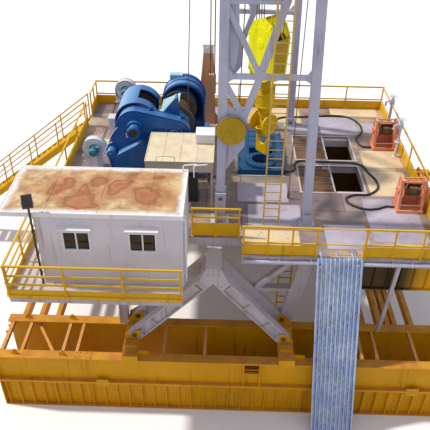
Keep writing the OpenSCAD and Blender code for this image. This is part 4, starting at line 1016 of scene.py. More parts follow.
# %% Gussets of the mast
for side in SIDES:
    up = (on_side(side, 0, 1, 0) - on_side(side, 0, 0, 0)).normalized()
    for height in LEVELS:
        for x, way in ((BACK_LEG, 1), (front_leg(height), -1)):
            outline = [(way * 0.139, -0.16), (way * 0.3, -0.075), (way * 0.3, 0.075), (way * 0.139, 0.3)]
            add_plate(outline, on_side(side, x, height, BRACE_FACE), X, up, -0.012 * side)
        outline = [(-0.22, -0.08), (0.2, -0.08), (0.17, 0.1), (0.05, 0.2), (-0.08, 0.2), (-0.2, 0.1)]
        middle = on_side(side, BACK_LEG + 1.09, height, BRACE_FACE)
        add_plate(outline, middle, X, up, -0.012 * side)
        spots = [middle + outward(side) * 0.012 + dx * X + up * dz
                 for dx, dz in ((-0.14, 0), (0, 0), (0.12, 0), (-0.02, 0.12))]
        add_bolts(spots, outward(side), 0.016)
    middle = on_side(side, BACK_LEG + 0.66, 3.66, BRACE_FACE)
    add_plate([(-0.14, -0.2), (0.08, -0.24), (0.12, 0.05), (0.03, 0.2), (-0.16, 0.18)], middle, X, up,
              -0.012 * side)
finish_piece("mast_gussets", mast_grey, bevel=0.002)

# %% Pins and plates of the mast feet
for side in SIDES:
    for x, height, half in ((FRONT_FOOT, 0.2, 0.235), (BACK_LEG, 0.95, 0.25)):
        y = MAST_FOOT - height * math.tan(LEAN)
        add_turned([(0, -half), (0.07, -half), (0.07, -half + 0.025), (0.055, -half + 0.03),
                    (0.055, half - 0.02), (0, half)], (x, side * y, height), Y, 20)
        add_tube((x - 0.09, side * (y + half - 0.02), height),
                 (x + 0.09, side * (y + half - 0.02), height), 0.008, 8)
finish_piece("mast_foot_pins", bare_steel, bevel=0.002)

for side in SIDES:
    for x, half in ((FRONT_FOOT, 0.26), (BACK_LEG, 0.3)):
        y = MAST_FOOT - 0.005
        add_block((x - half, side * (y - 0.3), 0), (x + half, side * (y + 0.3), 0.03))
        add_bolts([(x + dx * (half - 0.05), side * (y + dy * 0.25), 0.03) for dx in (-1, 0, 1)
                   for dy in (-1, 1)], Z, 0.024)
    for dx in (-0.13, 0.13):
        outline = [(0, 0), (0.12, 0), (0, 0.45)]
        add_plate(outline, (BACK_LEG + dx, side * 3.75, 0.03), side * Y, Z, 0.014)
finish_piece("mast_foot_plates", mast_grey)

# %% [markdown]
# A turned plate closes the face of the anchor wheel. A ring of bolts holds it, and the rope lies in four
# turns round the rim.

# %% Face of the deadline anchor
hub = on_side(-1, -1.21, 3.31, 0.29)
out = outward(-1)
add_turned([(0.45, 0), (0.452, 0.012), (0.43, 0.018), (0.41, 0.006), (0.2, 0.004), (0.19, 0.02),
            (0, 0.02)], hub, out, steps=48)
add_bolts(circle(hub + out * 0.006, 0.3, 8), out, 0.014)
add_bar(hub + Vector((-0.16, 0, -0.1)) + out * 0.05,
        hub + Vector((0.14, 0, -0.16)) + out * 0.05, 0.03, 0.02, out)
finish_piece("anchor_face", wheel_yellow, bevel=0.002)

for turn in range(4):
    add_ring(hub - out * (0.02 + turn * 0.018), 0.459, 40, 0.009, 6)
finish_piece("anchor_rope", wire_rope, bevel=0)

# %% [markdown]
# The crown carries guards over its sheaves, an arm beside them holds two of the hoist lines, and stops tip
# the fingers of the racking board. All stand above the picture's edge, so they follow the usual form.

# %% Crown guards
AXLE = CROWN + 1.07
GUARD_RADIUS = 0.66
FAST_SHEAVE = -1.4

for x, low, high in ((0.0, -0.36, 0.24), (FAST_SHEAVE, 0.12, 0.28)):
    for y in (low, high):
        arc = [polar(GUARD_RADIUS, a) for a in range(15, 166, 10)]
        for (u0, w0), (u1, w1) in zip(arc, arc[1:]):
            add_bar((x + u0, y, AXLE + w0), (x + u1, y, AXLE + w1), 0.04, 0.012, Y)
        for u, w in (arc[0], arc[-1]):
            add_bar((x + u, y, AXLE + w), (x + u, y, CROWN + 0.45), 0.04, 0.012, Y)
    for a in range(25, 156, 26):
        u, w = polar(GUARD_RADIUS, a)
        add_bar((x + u, low, AXLE + w), (x + u, high, AXLE + w), 0.03, 0.012)
finish_piece("crown_guards", rail_yellow, bevel=0.002)

for side in SIDES:
    for x in (-2.1, -0.95, 0.75, 1.45):
        add_block((x, side * 0.51, CROWN + 0.06), (x + 0.012, side * 0.73, CROWN + 0.45))
    add_bolts([(x, side * 0.62, CROWN + 0.45)
               for x in (-1.95, -1.65, -1.15, -0.85, -0.25, 0.25, 0.6)], Z, 0.026)
    for x in (0, FAST_SHEAVE):
        add_turned([(0.13, 0), (0.13, 0.02), (0.1, 0.04), (0.1, 0.055), (0, 0.055)],
                   (x, side * 0.57, AXLE), side * Y, 24)
finish_piece("crown_bearings", mast_grey, bevel=0.003)

# %% Arm of the hoist lines
for x in (-2.12, -1.81):
    add_block((x - 0.03, 0.95, CROWN - 0.14), (x + 0.03, 3.02, CROWN))
for y in (1.0, 1.75, 2.3):
    add_block((-2.09, y - 0.03, CROWN - 0.12), (-1.84, y + 0.03, CROWN - 0.02))
add_block((-2.17, 2.8, CROWN), (-1.76, 3.0, CROWN + 0.04))
for x in (-2.05, -1.88):
    add_turned([(0.026, 0), (0.05, 0.06), (0.05, 0.3), (0, 0.3)], (x, 2.9, CROWN - 0.3), steps=16)
add_bar((-1.81, 2.6, CROWN - 0.12), (-1.6, 1.34, CROWN - 1.3), 0.06, 0.06)
add_bolts([(x, y, CROWN + 0.04) for x in (-2.12, -1.81) for y in (2.85, 2.95)], Z, 0.018)
finish_piece("crown_hoist_arm", mast_grey, bevel=0.003)

# %% Racking board fittings
BOARD = 17.5

for side in SIDES:
    for i in range(7):
        x = 1.62 + i * 0.26
        add_turned([(0.05, 0), (0.05, 0.06), (0.03, 0.08), (0, 0.08)],
                   (x, side * 0.83, BOARD + 0.1), steps=12)
    for x in (1.3, 2.4, 3.5):
        add_bar((x, side * 2.3, BOARD + 0.12), (x, side * 2.3, BOARD + 1.15), 0.045, 0.045, X)
    for z in (0.6, 1.15):
        add_bar((1.3, side * 2.3, BOARD + z), (3.5, side * 2.3, BOARD + z), 0.035, 0.035)
for z in (0.6, 1.15):
    add_bar((3.5, -2.3, BOARD + z), (3.5, 2.3, BOARD + z), 0.035, 0.035)
for i in range(30):
    add_block((1.3 + i * 0.063, -0.34, BOARD + 0.16), (1.306 + i * 0.063, 0.34, BOARD + 0.185))
finish_piece("racking_board_rails", rail_yellow, bevel=0.002)

# %% [markdown]
# ## Travelling block and hook
# The block hangs turned by 48 degrees about the well. Its pieces are placed in its own directions: across
# the face, through it, and up from the rig floor. They ride on the block or on the swivelling hook.

# %% Places on the block
BLOCK_TURN = math.radians(-48)
BLOCK = 4.56
HOOK_TOP = BLOCK - 0.98


def on_block(across, through, height):
    """A point of the block, turned about the well with it; the height counts from the rig floor."""
    return Vector((across * math.cos(BLOCK_TURN) - through * math.sin(BLOCK_TURN),
                   across * math.sin(BLOCK_TURN) + through * math.cos(BLOCK_TURN), height))


ACROSS = on_block(1, 0, 0) - on_block(0, 0, 0)
THROUGH = on_block(0, 1, 0) - on_block(0, 0, 0)
HOUSING = [(-0.64, 0.56), (-0.42, 1.0), (0, 1.18), (0.42, 1.0), (0.64, 0.56), (0.56, -0.7), (0.24, -0.98),
           (-0.24, -0.98), (-0.56, -0.7)]
print("the block faces", [round(v, 2) for v in THROUGH])

# %% Side covers of the block
for way in SIDES:
    for grow, out in ((0.9, 0.366), (0.78, 0.386)):
        outline = [(u * grow, w * grow + 0.01) for u, w in HOUSING]
        add_plate(outline[::-way], on_block(0, way * out, BLOCK), ACROSS, Z, 0.024)
    add_turned([(0.17, 0), (0.17, 0.012), (0.15, 0.016), (0.05, 0.016), (0.04, 0.025), (0, 0.025)],
               on_block(0, way * 0.41, BLOCK + 0.35), THROUGH * way, 32)
    rim = [on_block(u * 0.955, way * 0.366, BLOCK + w * 0.955) for u, w in HOUSING]
    add_bolts(rim, THROUGH * way, 0.022)
    add_bolts([a.lerp(b, 0.5) for a, b in zip(rim, rim[1:] + rim[:1])], THROUGH * way, 0.022)
finish_piece("block_covers", block_yellow, "travelling_block", bevel=0.008)

for start, end in ((0, 8), (4, 5)):
    (u0, w0), (u1, w1) = HOUSING[start], HOUSING[end]
    add_bar(on_block(u0, 0, BLOCK + w0), on_block(u1, 0, BLOCK + w1), 0.58, 0.012, ACROSS)
for a, b in ((0, 1), (1, 2), (2, 3), (3, 4)):
    (u0, w0), (u1, w1) = HOUSING[a], HOUSING[b]
    for y in (-0.28, 0.0, 0.28):
        add_bar(on_block(u0, y, BLOCK + w0), on_block(u1, y, BLOCK + w1), 0.05, 0.016, ACROSS)
finish_piece("block_guards", wheel_yellow, "travelling_block", bevel=0.003)

# %% [markdown]
# Eight falls of rope carry the block. They get shorter as the block goes up, and a solid of the CAD model
# keeps its length, so the falls are drawn again here, from the block up to the crown.

# %% Falls of the drilling line
FALL_FOOT = 4.91

for side in SIDES:
    for y in (-0.18, -0.06, 0.06, 0.18):
        foot = on_block(side * 0.4683, y, FALL_FOOT)
        add_tube(foot, (side * 0.5283, y, AXLE), 0.016, 8)
falls = finish_piece("line_falls", wire_rope, bevel=0)
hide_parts("drilling_lines")
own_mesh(falls)

# %% Bail and spring barrel of the hook
half_turn = [math.pi * i / 12 for i in range(13)]
arch = [on_block(0.3 * math.cos(a), 0, HOOK_TOP - 0.34 + 0.34 * math.sin(a)) for a in half_turn]
for y in (-0.085, 0.085):
    shift = THROUGH * y
    add_pipe([arch[0] + shift - 0.2 * Z] + [p + shift for p in arch]
             + [arch[-1] + shift - 0.2 * Z], 0.04, 10)
for height in (0.52, 0.98):
    add_turned([(0.33, 0), (0.35, 0.01), (0.35, 0.04), (0.33, 0.05)],
               (0, 0, HOOK_TOP - height - 0.05), steps=40)
add_turned([(0.24, 0), (0.27, 0.01), (0.27, 0.05), (0.24, 0.06)], (0, 0, HOOK_TOP - 1.2), steps=40)
add_bar(on_block(0.3, 0, HOOK_TOP - 0.8), on_block(0.5, 0, HOOK_TOP - 0.86), 0.05, 0.04)
add_turned([(0.03, 0), (0.05, 0.02), (0.05, 0.08), (0, 0.1)], on_block(0.5, 0, HOOK_TOP - 0.92), steps=14)
finish_piece("hook_barrel", hook_yellow, "travelling_block", bevel=0.002)

# %% Jaw, ears and latch of the hook
HOOK_EYE = 1.18
HOOK_PIN = 1.89

jaw = [on_block(u, 0, HOOK_EYE + w) for u, w in (polar(0.245, a) for a in range(75, 371, 12))]
add_pipe(jaw, 0.062, 12)
add_turned([(0, -0.09), (0.06, -0.07), (0.075, 0), (0.06, 0.07), (0, 0.09)], jaw[-1], Z, 16)
for way in SIDES:
    ear = [on_block(0.11 * math.sin(math.radians(a)), way * (0.2 - 0.13 * math.cos(math.radians(a))),
                    1.75 + 0.02 * way) for a in range(0, 331, 30)]
    add_pipe(ear + ear[:1], 0.035, 8)
    add_plate([(-0.13, 0), (0.13, 0), (0.2, 0.32), (0.12, 0.6), (-0.12, 0.6), (-0.2, 0.32)][::-way],
              on_block(0, way * 0.071, 1.35), ACROSS, Z, 0.02)
add_bar(on_block(0.06, 0, HOOK_EYE + 0.26), on_block(0.27, 0, HOOK_EYE + 0.05), 0.09, 0.03, THROUGH)
add_turned([(0.2, 0), (0.215, 0.01), (0.215, 0.04), (0.2, 0.05)], (0, 0, 2.22), steps=32)
add_tube(on_block(0.06, -0.1, HOOK_EYE + 0.28), on_block(0.06, 0.1, HOOK_EYE + 0.28), 0.028, 12)
finish_piece("hook_jaw", hook_yellow, "hook", bevel=0.002)

# %% Round cheeks of the hook
for way in SIDES:
    add_turned([(0, 0), (0.36, 0), (0.4, 0.02), (0.4, 0.07), (0.36, 0.09), (0.33, 0.07), (0.16, 0.07),
                (0.14, 0.11), (0, 0.11)], on_block(way * 0.262, 0, HOOK_PIN), ACROSS * way, 48)
    add_bolts(circle(on_block(way * 0.332, 0, HOOK_PIN), 0.25, 8, THROUGH, start=0.5), ACROSS * way, 0.022)
finish_piece("hook_cheeks", hook_yellow, "hook", bevel=0.004)

# %% [markdown]
# ## The drawworks
# The chain case shows its welded rim, its bolts and its covers. The outline of the case wraps three
# circles, so a small function finds that outline, and the rims and bolts follow it.

# %% Outline of the chain case


def wrap_outline(circles, corners=()):
    """The tight outline round circles (x, z, radius) and corner points, as a closed row of points."""
    points = [Vector((x + r * math.cos(a), z + r * math.sin(a))) for x, z, r in circles
              for a in (math.tau * i / 48 for i in range(48))]
    points += [Vector(c) for c in corners]
    points.sort(key=lambda p: (round(p.x, 6), p.y))
    outline = []
    for row in (points, points[::-1]):
        half = []
        for p in row:
            while len(half) > 1 and (half[-1] - half[-2]).cross(p - half[-1]) <= 1e-9:
                half.pop()
            half.append(p)
        outline += half[:-1]
    return outline


MAIN_SHAFT = Vector((-3.2, 0, 1.75))
FAST_SHAFT = Vector((-4.6, 0, 1.98))
CASE = wrap_outline([(*FAST_SHAFT.xz, 0.64), (-5.35, 1.0, 0.33), (*MAIN_SHAFT.xz, 0.56)],
                    [(-5.5, 0.18), (-2.6, 0.18)])
GUARD = wrap_outline([(-5.06, 0.9, 0.23), (-4.33, 1.33, 0.23)], [(-5.29, 0.18), (-4.1, 0.18)])
print("case outline has", len(CASE), "points")

# %% Rims and bolts of the case


def add_rim(outline, y, width, thickness):
    """A flat bar on edge that follows an outline in X and Z over the floor, left out along the skid."""
    for a, b in zip(outline, outline[1:] + outline[:1]):
        if a.y < 0.2 and b.y < 0.2:
            continue
        add_bar((a.x, y, a.y), (b.x, y, b.y), width, thickness, (b.y - a.y, 0, a.x - b.x))


for y in (-0.885, -0.495):
    add_rim(CASE, y, 0.03, 0.05)
for y in (-1.29, -0.95):
    add_rim(GUARD, y, 0.025, 0.045)
finish_piece("case_rims", machine_blue, bevel=0.002)


def bolts_along(outline, centre, share, y, gap, size):
    """Bolt heads along an outline drawn in towards its centre."""
    centre = Vector(centre)
    path = [centre + (p - centre) * share for p in outline]
    travelled = 0.0
    for a, b in zip(path, path[1:] + path[:1]):
        travelled += (b - a).length
        if travelled > gap and b.y > 0.3:
            travelled = 0.0
            add_bolts([(b.x, y, b.y)], -Y, size)


bolts_along(CASE, (-4.1, 1.3), 0.94, -0.9, 0.26, 0.018)
bolts_along(GUARD, (-4.7, 0.75), 0.9, -1.3, 0.2, 0.014)
for centre, radius, count in ((FAST_SHAFT - Y, 0.25, 10), (MAIN_SHAFT - 0.93 * Y, 0.3, 12)):
    add_bolts(circle(centre, radius, count), -Y, 0.018)
finish_piece("case_bolts", machine_blue, bevel=0)

# %% Covers and shaft end of the case
add_turned([(0.36, 0), (0.36, 0.02), (0.33, 0.03), (0.2, 0.03), (0.18, 0.06), (0, 0.06)],
           MAIN_SHAFT - 0.9 * Y, -Y, 40)
add_turned([(0.16, 0), (0.24, 0), (0.24, 0.035), (0.205, 0.045), (0.205, 0.06), (0.16, 0.06)],
           FAST_SHAFT - 1.3 * Y, -Y, 36)
add_turned([(0.19, 0), (0.21, 0.01), (0.21, 0.04), (0.19, 0.05)], FAST_SHAFT - 1.14 * Y, -Y, 36)
add_turned([(0.18, 0), (0.16, 0.03), (0.07, 0.03), (0.05, 0.05), (0, 0.05)], (-5.47, -1.18, 1.05), -Y, 28)
for x, z, w, h in ((-3.9, 0.55, 0.5, 0.5), (-3.15, 0.62, 0.5, 0.55), (-4.05, 1.5, 0.34, 0.3)):
    add_block((x - w / 2, -0.916, z - h / 2), (x + w / 2, -0.9, z + h / 2))
    add_bolts([(x + dx * (w / 2 - 0.04), -0.916, z + dz * (h / 2 - 0.04)) for dx in (-1, 0, 1)
               for dz in (-1, 0, 1) if dx or dz], -Y, 0.012)
for x, z in ((-5.15, 1.52), (-4.0, 2.55), (-2.9, 2.26)):
    add_eye((x, -0.69, z), X, 0.12, 0.025)
finish_piece("case_covers", machine_blue, bevel=0.003)

for points in ([(-5.72, -0.93, 0.75), (-5.8, -1.0, 0.9), (-5.62, -1.0, 1.35), (-5.45, -0.93, 1.42)],
               [(-5.5, -0.93, 1.5), (-5.52, -1.02, 1.6), (-5.3, -1.02, 1.95), (-5.22, -0.93, 2.0)],
               [(-5.0, -1.33, 0.42), (-5.0, -1.39, 0.47), (-4.78, -1.39, 0.56), (-4.74, -1.33, 0.56)]):
    add_pipe(points, 0.016, 8)
add_block((-4.93, -0.96, 1.62), (-4.79, -0.9, 1.77))
finish_piece("case_handles", cabin_white, bevel=0.002)

# A black disc fills the mouth of the fast shaft's cover, as painted shade of the hollow shaft.
add_turned([(0.163, 0), (0.163, 0.012), (0.06, 0.012), (0.05, 0.035), (0, 0.035)],
           FAST_SHAFT - 1.3 * Y, -Y, 32)
finish_piece("shaft_mouth_painted_shade", lamp_enamel, bevel=0.002)

# %% [markdown]
# Rope lies on both drums in close turns, so their profile is a row of small waves. The skid has its cross
# beams and bolts, and pale teal sheets cover the clutch.

# %% Rope on the drums
ROPE_PITCH = 0.032

for shaft, start, end, radius in ((MAIN_SHAFT, 0.062, 1.288, 0.38), (FAST_SHAFT, -0.268, 0.888, 0.3)):
    turns = int((end - start) / ROPE_PITCH)
    profile = [(radius, start)]
    for i in range(turns):
        profile += [(radius + high, start + (i + share) * ROPE_PITCH)
                    for high, share in ((0.014, 0.2), (0.024, 0.5), (0.014, 0.8), (0.002, 1))]
    add_turned(profile, shaft, Y, 40)
finish_piece("drum_rope", wire_rope, bevel=0, angle=80)

# %% Clutch sheets and brake
add_bar((-3.735, 0.38, 2.3), (-3.08, 0.38, 2.6), 0.86, 0.02, (0.42, 0, -0.9))
add_bar((-3.185, -0.28, 2.96), (-3.635, -0.28, 2.415), 0.38, 0.012, (0.77, 0, -0.63))
add_bar((-3.635, -0.28, 2.41), (-3.79, -0.28, 2.315), 0.38, 0.012, (0.52, 0, -0.85))
add_block((-2.74, -0.45, 0.5), (-2.725, -0.1, 1.95))
for y in (0.0, 0.76):
    add_bar((-3.7, y, 2.3), (-3.7, y, 0.18), 0.04, 0.04, X)
add_block((-3.6, 2.1, 2.6), (-3.1, 2.4, 2.75))
finish_piece("clutch_sheets", panel_teal, bevel=0.003)

BRAKE = Vector((-3.05, 0, 1.85))

for y in (1.5, 1.9, 2.3):
    band = circle(BRAKE + y * Y, 0.83, 30)[:16]
    for here, there in zip(band, band[1:]):
        add_bar(here, there, 0.05, 0.024, Y)
for face, radius in ((BRAKE + 2.5 * Y, 0.7), (FAST_SHAFT + 1.1 * Y, 0.66)):
    add_turned([(radius, 0), (radius, 0.012), (0.25, 0.012), (0.22, 0.05), (0, 0.05)], face, Y, 40)
    add_bolts(circle(face + 0.012 * Y, radius - 0.05, 12), Y, 0.016)
add_turned([(0.62, 0), (0.66, 0.01), (0.66, 0.22), (0.62, 0.23), (0.1, 0.23), (0.1, 0)],
           MAIN_SHAFT + 1.58 * Y, Y, 48)
finish_piece("brake_rims", machine_blue, bevel=0.002)

# %% Skid of the drawworks
for y in (-0.95, 0.2, 1.2, 2.2, 3.2):
    add_block((-5.72, y - 0.03, 0.02), (-2.08, y + 0.03, 0.19))
for x, way in ((-5.7, -1), (-2.1, 1)):
    for y in (-0.6, 0.7, 1.7, 2.8):
        add_block((x, y - 0.08, 0), (x + way * 0.12, y + 0.08, 0.025))
        add_bolts([(x + way * 0.06, y, 0.025)], Z, 0.026)
for x in (-5.2, -4.3):
    add_block((x - 0.3, 2.5, 0.18), (x + 0.3, 3.0, 0.26))
    add_turned([(0.2, -0.3), (0.22, -0.28), (0.22, 0.28), (0.2, 0.3), (0.06, 0.32), (0, 0.32)],
               (x, 2.75, 0.5), X, 24)
finish_piece("drawworks_skid_fittings", machine_blue)

# %% [markdown]
# The blowers cool the brakes. Each has a round housing with a rim, a square outlet, and a teal motor
# with cooling fins.

# %% Blowers
BLOWERS = ((-6.28, -0.06, 0.77), (-5.6, 3.65, 1.5))

for x, y, z in BLOWERS:
    for back in (0.0, 0.28):
        add_turned([(0.4, 0), (0.445, 0), (0.445, 0.02), (0.4, 0.02)], (x, y - back, z), -Y, 44)
    add_turned([(0.3, 0), (0.22, 0.05), (0.2, 0.05), (0.28, 0)], (x, y - 0.245, z), -Y, 32)
    add_block((x - 0.45, y - 0.32, z - 0.54), (x - 0.03, y + 0.02, z - 0.5))
    add_block((x - 0.28, y - 0.62, 0), (x + 0.28, y - 0.02, 0.04))
    add_bar((x, y - 0.45, 0.04), (x, y - 0.45, z - 0.17), 0.26, 0.04, Y)
finish_piece("blower_rims", cabin_white, bevel=0.003)

for x, y, z in BLOWERS:
    add_turned([(0.1, 0.3), (0.152, 0.31), (0.16, 0.34), (0.16, 0.58), (0.13, 0.63), (0.05, 0.65), (0, 0.65)],
               (x, y, z), -Y, 28)
    for rib in circle((0, 0, 0), 1, 20):
        add_bar(Vector((x, y - 0.36, z)) + rib * 0.168, Vector((x, y - 0.57, z)) + rib * 0.168,
                0.008, 0.022, rib)
    add_block((x + 0.1, y - 0.52, z + 0.08), (x + 0.24, y - 0.38, z + 0.2))
finish_piece("blower_motors", motor_teal, bevel=0.002)

# %% [markdown]
# ## The cabin
# The cabin has sliding windows in white frames, a roof with three low seams and a turned-down edge, a door
# in its back wall and a floodlight on a pole. Its walls carry no lettering.

# %% Window frames
CABIN_X = (-6.5, -2.5)
WALL_FACE = -6.9
WALL_TOP = 2.42
WINDOWS = (-5.81, -3.97)
WINDOW_WIDTH = 0.74
WINDOW_SILL = 1.24
WINDOW_HEIGHT = 0.63

for x in WINDOWS:
    right, top = x + WINDOW_WIDTH, WINDOW_SILL + WINDOW_HEIGHT
    for low, high in (((x - 0.02, WINDOW_SILL - 0.02), (x + 0.02, top + 0.02)),
                      ((right - 0.02, WINDOW_SILL - 0.02), (right + 0.02, top + 0.02)),
                      ((x + 0.02, WINDOW_SILL - 0.02), (right - 0.02, WINDOW_SILL + 0.02)),
                      ((x + 0.02, top - 0.02), (right - 0.02, top + 0.02)),
                      ((x + WINDOW_WIDTH / 2 - 0.02, WINDOW_SILL + 0.02),
                       (x + WINDOW_WIDTH / 2 + 0.02, top - 0.02))):
        add_block((low[0], WALL_FACE - 0.025, low[1]), (high[0], WALL_FACE + 0.03, high[1]))
    add_block((x - 0.04, WALL_FACE - 0.05, WINDOW_SILL - 0.035),
              (right + 0.04, WALL_FACE, WINDOW_SILL - 0.02))
    add_block((x - 0.09, WALL_FACE - 0.17, top + 0.14), (right + 0.09, WALL_FACE - 0.155, top + 0.175))
    for end in (x - 0.09, right + 0.08):
        add_bar((end, WALL_FACE, top + 0.16), (end, WALL_FACE - 0.16, top + 0.145), 0.01, 0.05)
finish_piece("window_frames", frame_white, bevel=0.003)

# %% Corner posts and wall seams
CABIN_BACK = -4.56

for x, way_x in zip(CABIN_X, (1, -1)):
    for y, way_y in ((WALL_FACE, 1), (CABIN_BACK, -1)):
        add_block((x - 0.015, y - 0.015, 0), (x + 0.015, y + 0.015, WALL_TOP))
        add_block((min(x, x + way_x * 0.07), y - 0.012, 0), (max(x, x + way_x * 0.07), y + 0.012, WALL_TOP))
        add_block((x - 0.012, min(y, y + way_y * 0.07), 0), (x + 0.012, max(y, y + way_y * 0.07), WALL_TOP))
for i in range(1, 5):
    x = CABIN_X[0] + i * 0.8
    if abs(x + 3.6) > 0.5:
        add_block((x - 0.012, WALL_FACE - 0.006, 0.05), (x + 0.012, WALL_FACE + 0.01, 1.1))
    add_bolts([(x, WALL_FACE - 0.001, h) for h in (0.1, 2.3)], -Y, 0.008)
add_block((CABIN_X[0], WALL_FACE - 0.03, 0), (CABIN_X[1], WALL_FACE + 0.01, 0.09))
for i in range(1, 3):
    y = WALL_FACE + i * 0.78
    add_block((-2.51, y - 0.012, 0.05), (-2.494, y + 0.012, 2.4))
add_block((-2.51, WALL_FACE, 0), (-2.47, CABIN_BACK, 0.09))
add_block((-6.53, WALL_FACE, 0), (-6.49, CABIN_BACK, 0.09))
finish_piece("cabin_trim", cabin_white, bevel=0.003)

# %% Door and its frame
DOOR = (-4.6, -3.7)

for x in DOOR:
    add_block((x - 0.03, CABIN_BACK - 0.09, 0), (x + 0.03, CABIN_BACK + 0.02, 2.03))
add_block((DOOR[0] - 0.03, CABIN_BACK - 0.09, 1.97), (DOOR[1] + 0.03, CABIN_BACK + 0.02, 2.03))
add_block((DOOR[0] - 0.15, CABIN_BACK, 2.06), (DOOR[1] + 0.15, CABIN_BACK + 0.2, 2.09))
for z in (0.3, 1.7):
    add_tube((DOOR[0] + 0.02, CABIN_BACK + 0.035, z),
             (DOOR[0] + 0.02, CABIN_BACK + 0.035, z + 0.12), 0.016, 10)
finish_piece("door_frame", frame_white, bevel=0.003)

# %% Roof seams and edge
ROOF_TOP = 2.51

for x in (-6.26, -4.82, -3.47):
    add_block((x - 0.03, ROOF_Y[0], ROOF_TOP - 0.01), (x + 0.03, ROOF_Y[1], ROOF_TOP + 0.01))
finish_piece("roof_seams", roof_paint, bevel=0.008)

for y in ROOF_Y:
    add_block((ROOF_X[0], y - 0.018, ROOF_TOP - 0.13), (ROOF_X[1], y + 0.018, ROOF_TOP + 0.012))
for x in ROOF_X:
    add_block((x - 0.018, ROOF_Y[0], ROOF_TOP - 0.13), (x + 0.018, ROOF_Y[1], ROOF_TOP + 0.012))
    add_tube((x, ROOF_Y[0], ROOF_TOP - 0.14), (x, ROOF_Y[0], ROOF_TOP + 0.03), 0.03, 10)
finish_piece("roof_edge", frame_white, bevel=0.004)

# %% [markdown]
# White pipes run up the cabin's right end and out over the roof corner. The floodlight has a finned back, a
# yoke and a glass.

# %% Fittings at the ends of the cabin
for y in (-6.75, -6.6):
    add_pipe([(-2.42, y, 0.05), (-2.42, y, 2.2), (-2.45, y, 2.28), (-2.5, y, 2.3)], 0.022, 10)
    for z in (0.4, 1.2, 2.0):
        add_block((-2.5, y - 0.035, z - 0.012), (-2.39, y + 0.035, z + 0.012))
for x in (-2.62, -2.3):
    add_pipe([(x, -4.62, 2.3), (x, -4.62, 2.66), (x + 0.03, -4.6, 2.7), (x + 0.4, -4.56, 2.72)], 0.02, 8)
finish_piece("cabin_fittings", frame_white, bevel=0.004)

# %% Floodlight
LAMP_POLE = (-6.56, -7.0)
LAMP_HEIGHT = 2.88
LAMP_TILT = math.radians(35)
LAMP_TURN = Matrix.Rotation(math.radians(20), 3, "Z") @ Matrix.Rotation(LAMP_TILT, 3, "X")


def on_lamp(x, y, z):
    """A point of the floodlight's housing, from the top of its pole."""
    return Vector((*LAMP_POLE, LAMP_HEIGHT)) + LAMP_TURN @ Vector((x, y, z))


for i in range(7):
    x = -0.12 + i * 0.04
    add_bar(on_lamp(x, -0.17, 0.13), on_lamp(x, 0.17, 0.13), 0.008, 0.03, LAMP_TURN @ Z)
for x in (-0.155, 0.155):
    add_bar(on_lamp(x, 0, 0.06), on_lamp(x, 0, -0.16), 0.01, 0.04, LAMP_TURN @ Y)
add_bar(on_lamp(-0.155, 0, -0.16), on_lamp(0.155, 0, -0.16), 0.04, 0.01)
for z in (0.4, 1.1, 1.9):
    add_turned([(0.03, 0), (0.042, 0), (0.042, 0.03), (0.03, 0.03)], (*LAMP_POLE, z), steps=16)
    add_block((LAMP_POLE[0] - 0.02, LAMP_POLE[1] + 0.02, z), (LAMP_POLE[0] + 0.02, WALL_FACE, z + 0.03))
finish_piece("floodlight_fins", lamp_enamel, bevel=0.001)

add_bar(on_lamp(0, -0.16, -0.006), on_lamp(0, 0.16, -0.006), 0.24, 0.012, LAMP_TURN @ Z)
finish_piece("floodlight_glass", window_glass, bevel=0.002)

# %% Porch planks and brackets
for i in range(8):
    low = -7.4 + i * 0.062
    add_block((-7.43, low, 0.001), (-2.52, low + 0.012, 0.007))
for i in range(12):
    x = -7.4 + i * 0.074
    add_block((x, -6.88, 0.001), (x + 0.012, -4.6, 0.007))
for x in (-6.9, -4.8, -2.8):
    add_plate([(0, 0), (0.38, 0), (0, -0.3)], (x, -7.18, -0.08), Y, Z, 0.014)
finish_piece("porch_ribs", frame_white, bevel=0.001)

add_block((-7.45, -7.508, -0.1), (-2.5, -7.498, 0.01))
add_bolts([(x, -7.508, -0.05) for x in (-6.9, -5.7, -4.5, -3.3)], -Y, 0.016)
finish_piece("porch_edge_plate", rail_yellow, bevel=0.002)

# %% [markdown]
# ## Rails, slide and stair
# Every rail post stands in a socket that is bolted down, and its top bar is capped. The rows below list
# where the rails run.

# %% Sockets of the rail posts
RAIL_HEIGHT = 1.07
RAIL_BARS = (0.45, 1.0)
RAIL_FRONT = -5.36
RAIL_ROWS = [((-0.77, RAIL_FRONT), (1.525, RAIL_FRONT), 4), ((2.975, RAIL_FRONT), (5.65, RAIL_FRONT), 4),
             ((-2.4, -4.46), (-0.85, -4.46), 3), ((5.61, -5.32), (5.61, 5.32), 7),
             ((-7.26, -4.48), (-7.26, 3.035), 5), ((-7.26, 3.965), (-7.26, 5.32), 3),
             ((-7.3, 5.36), (5.65, 5.36), 9), ((-7.45, -7.475), (-2.5, -7.475), 4),
             ((-7.425, -7.44), (-7.425, -4.52), 3)]

for start, end, count in RAIL_ROWS:
    start, end = Vector((*start, 0)), Vector((*end, 0))
    along = (end - start).normalized()
    aside = along.cross(Z)
    for i in range(count):
        foot = start + along * (0.025 + i * ((end - start).length - 0.05) / (count - 1))
        add_bar(foot, foot + 0.13 * Z, 0.072, 0.072, along)
        add_bar(foot - aside * 0.08, foot + aside * 0.08, 0.1, 0.014)
        add_bolts([foot + aside * 0.062 * way + 0.007 * Z for way in SIDES], Z, 0.01)
        for share in RAIL_BARS:
            joint = foot + Vector((0, 0, RAIL_HEIGHT * share - 0.026))
            add_bar(joint - along * 0.045, joint + along * 0.045, 0.056, 0.056)
    add_bar(start + Vector((0, 0, RAIL_HEIGHT + 0.004)),
            end + Vector((0, 0, RAIL_HEIGHT + 0.004)), 0.056, 0.01)
finish_piece("rail_sockets", rail_yellow, bevel=0.003)

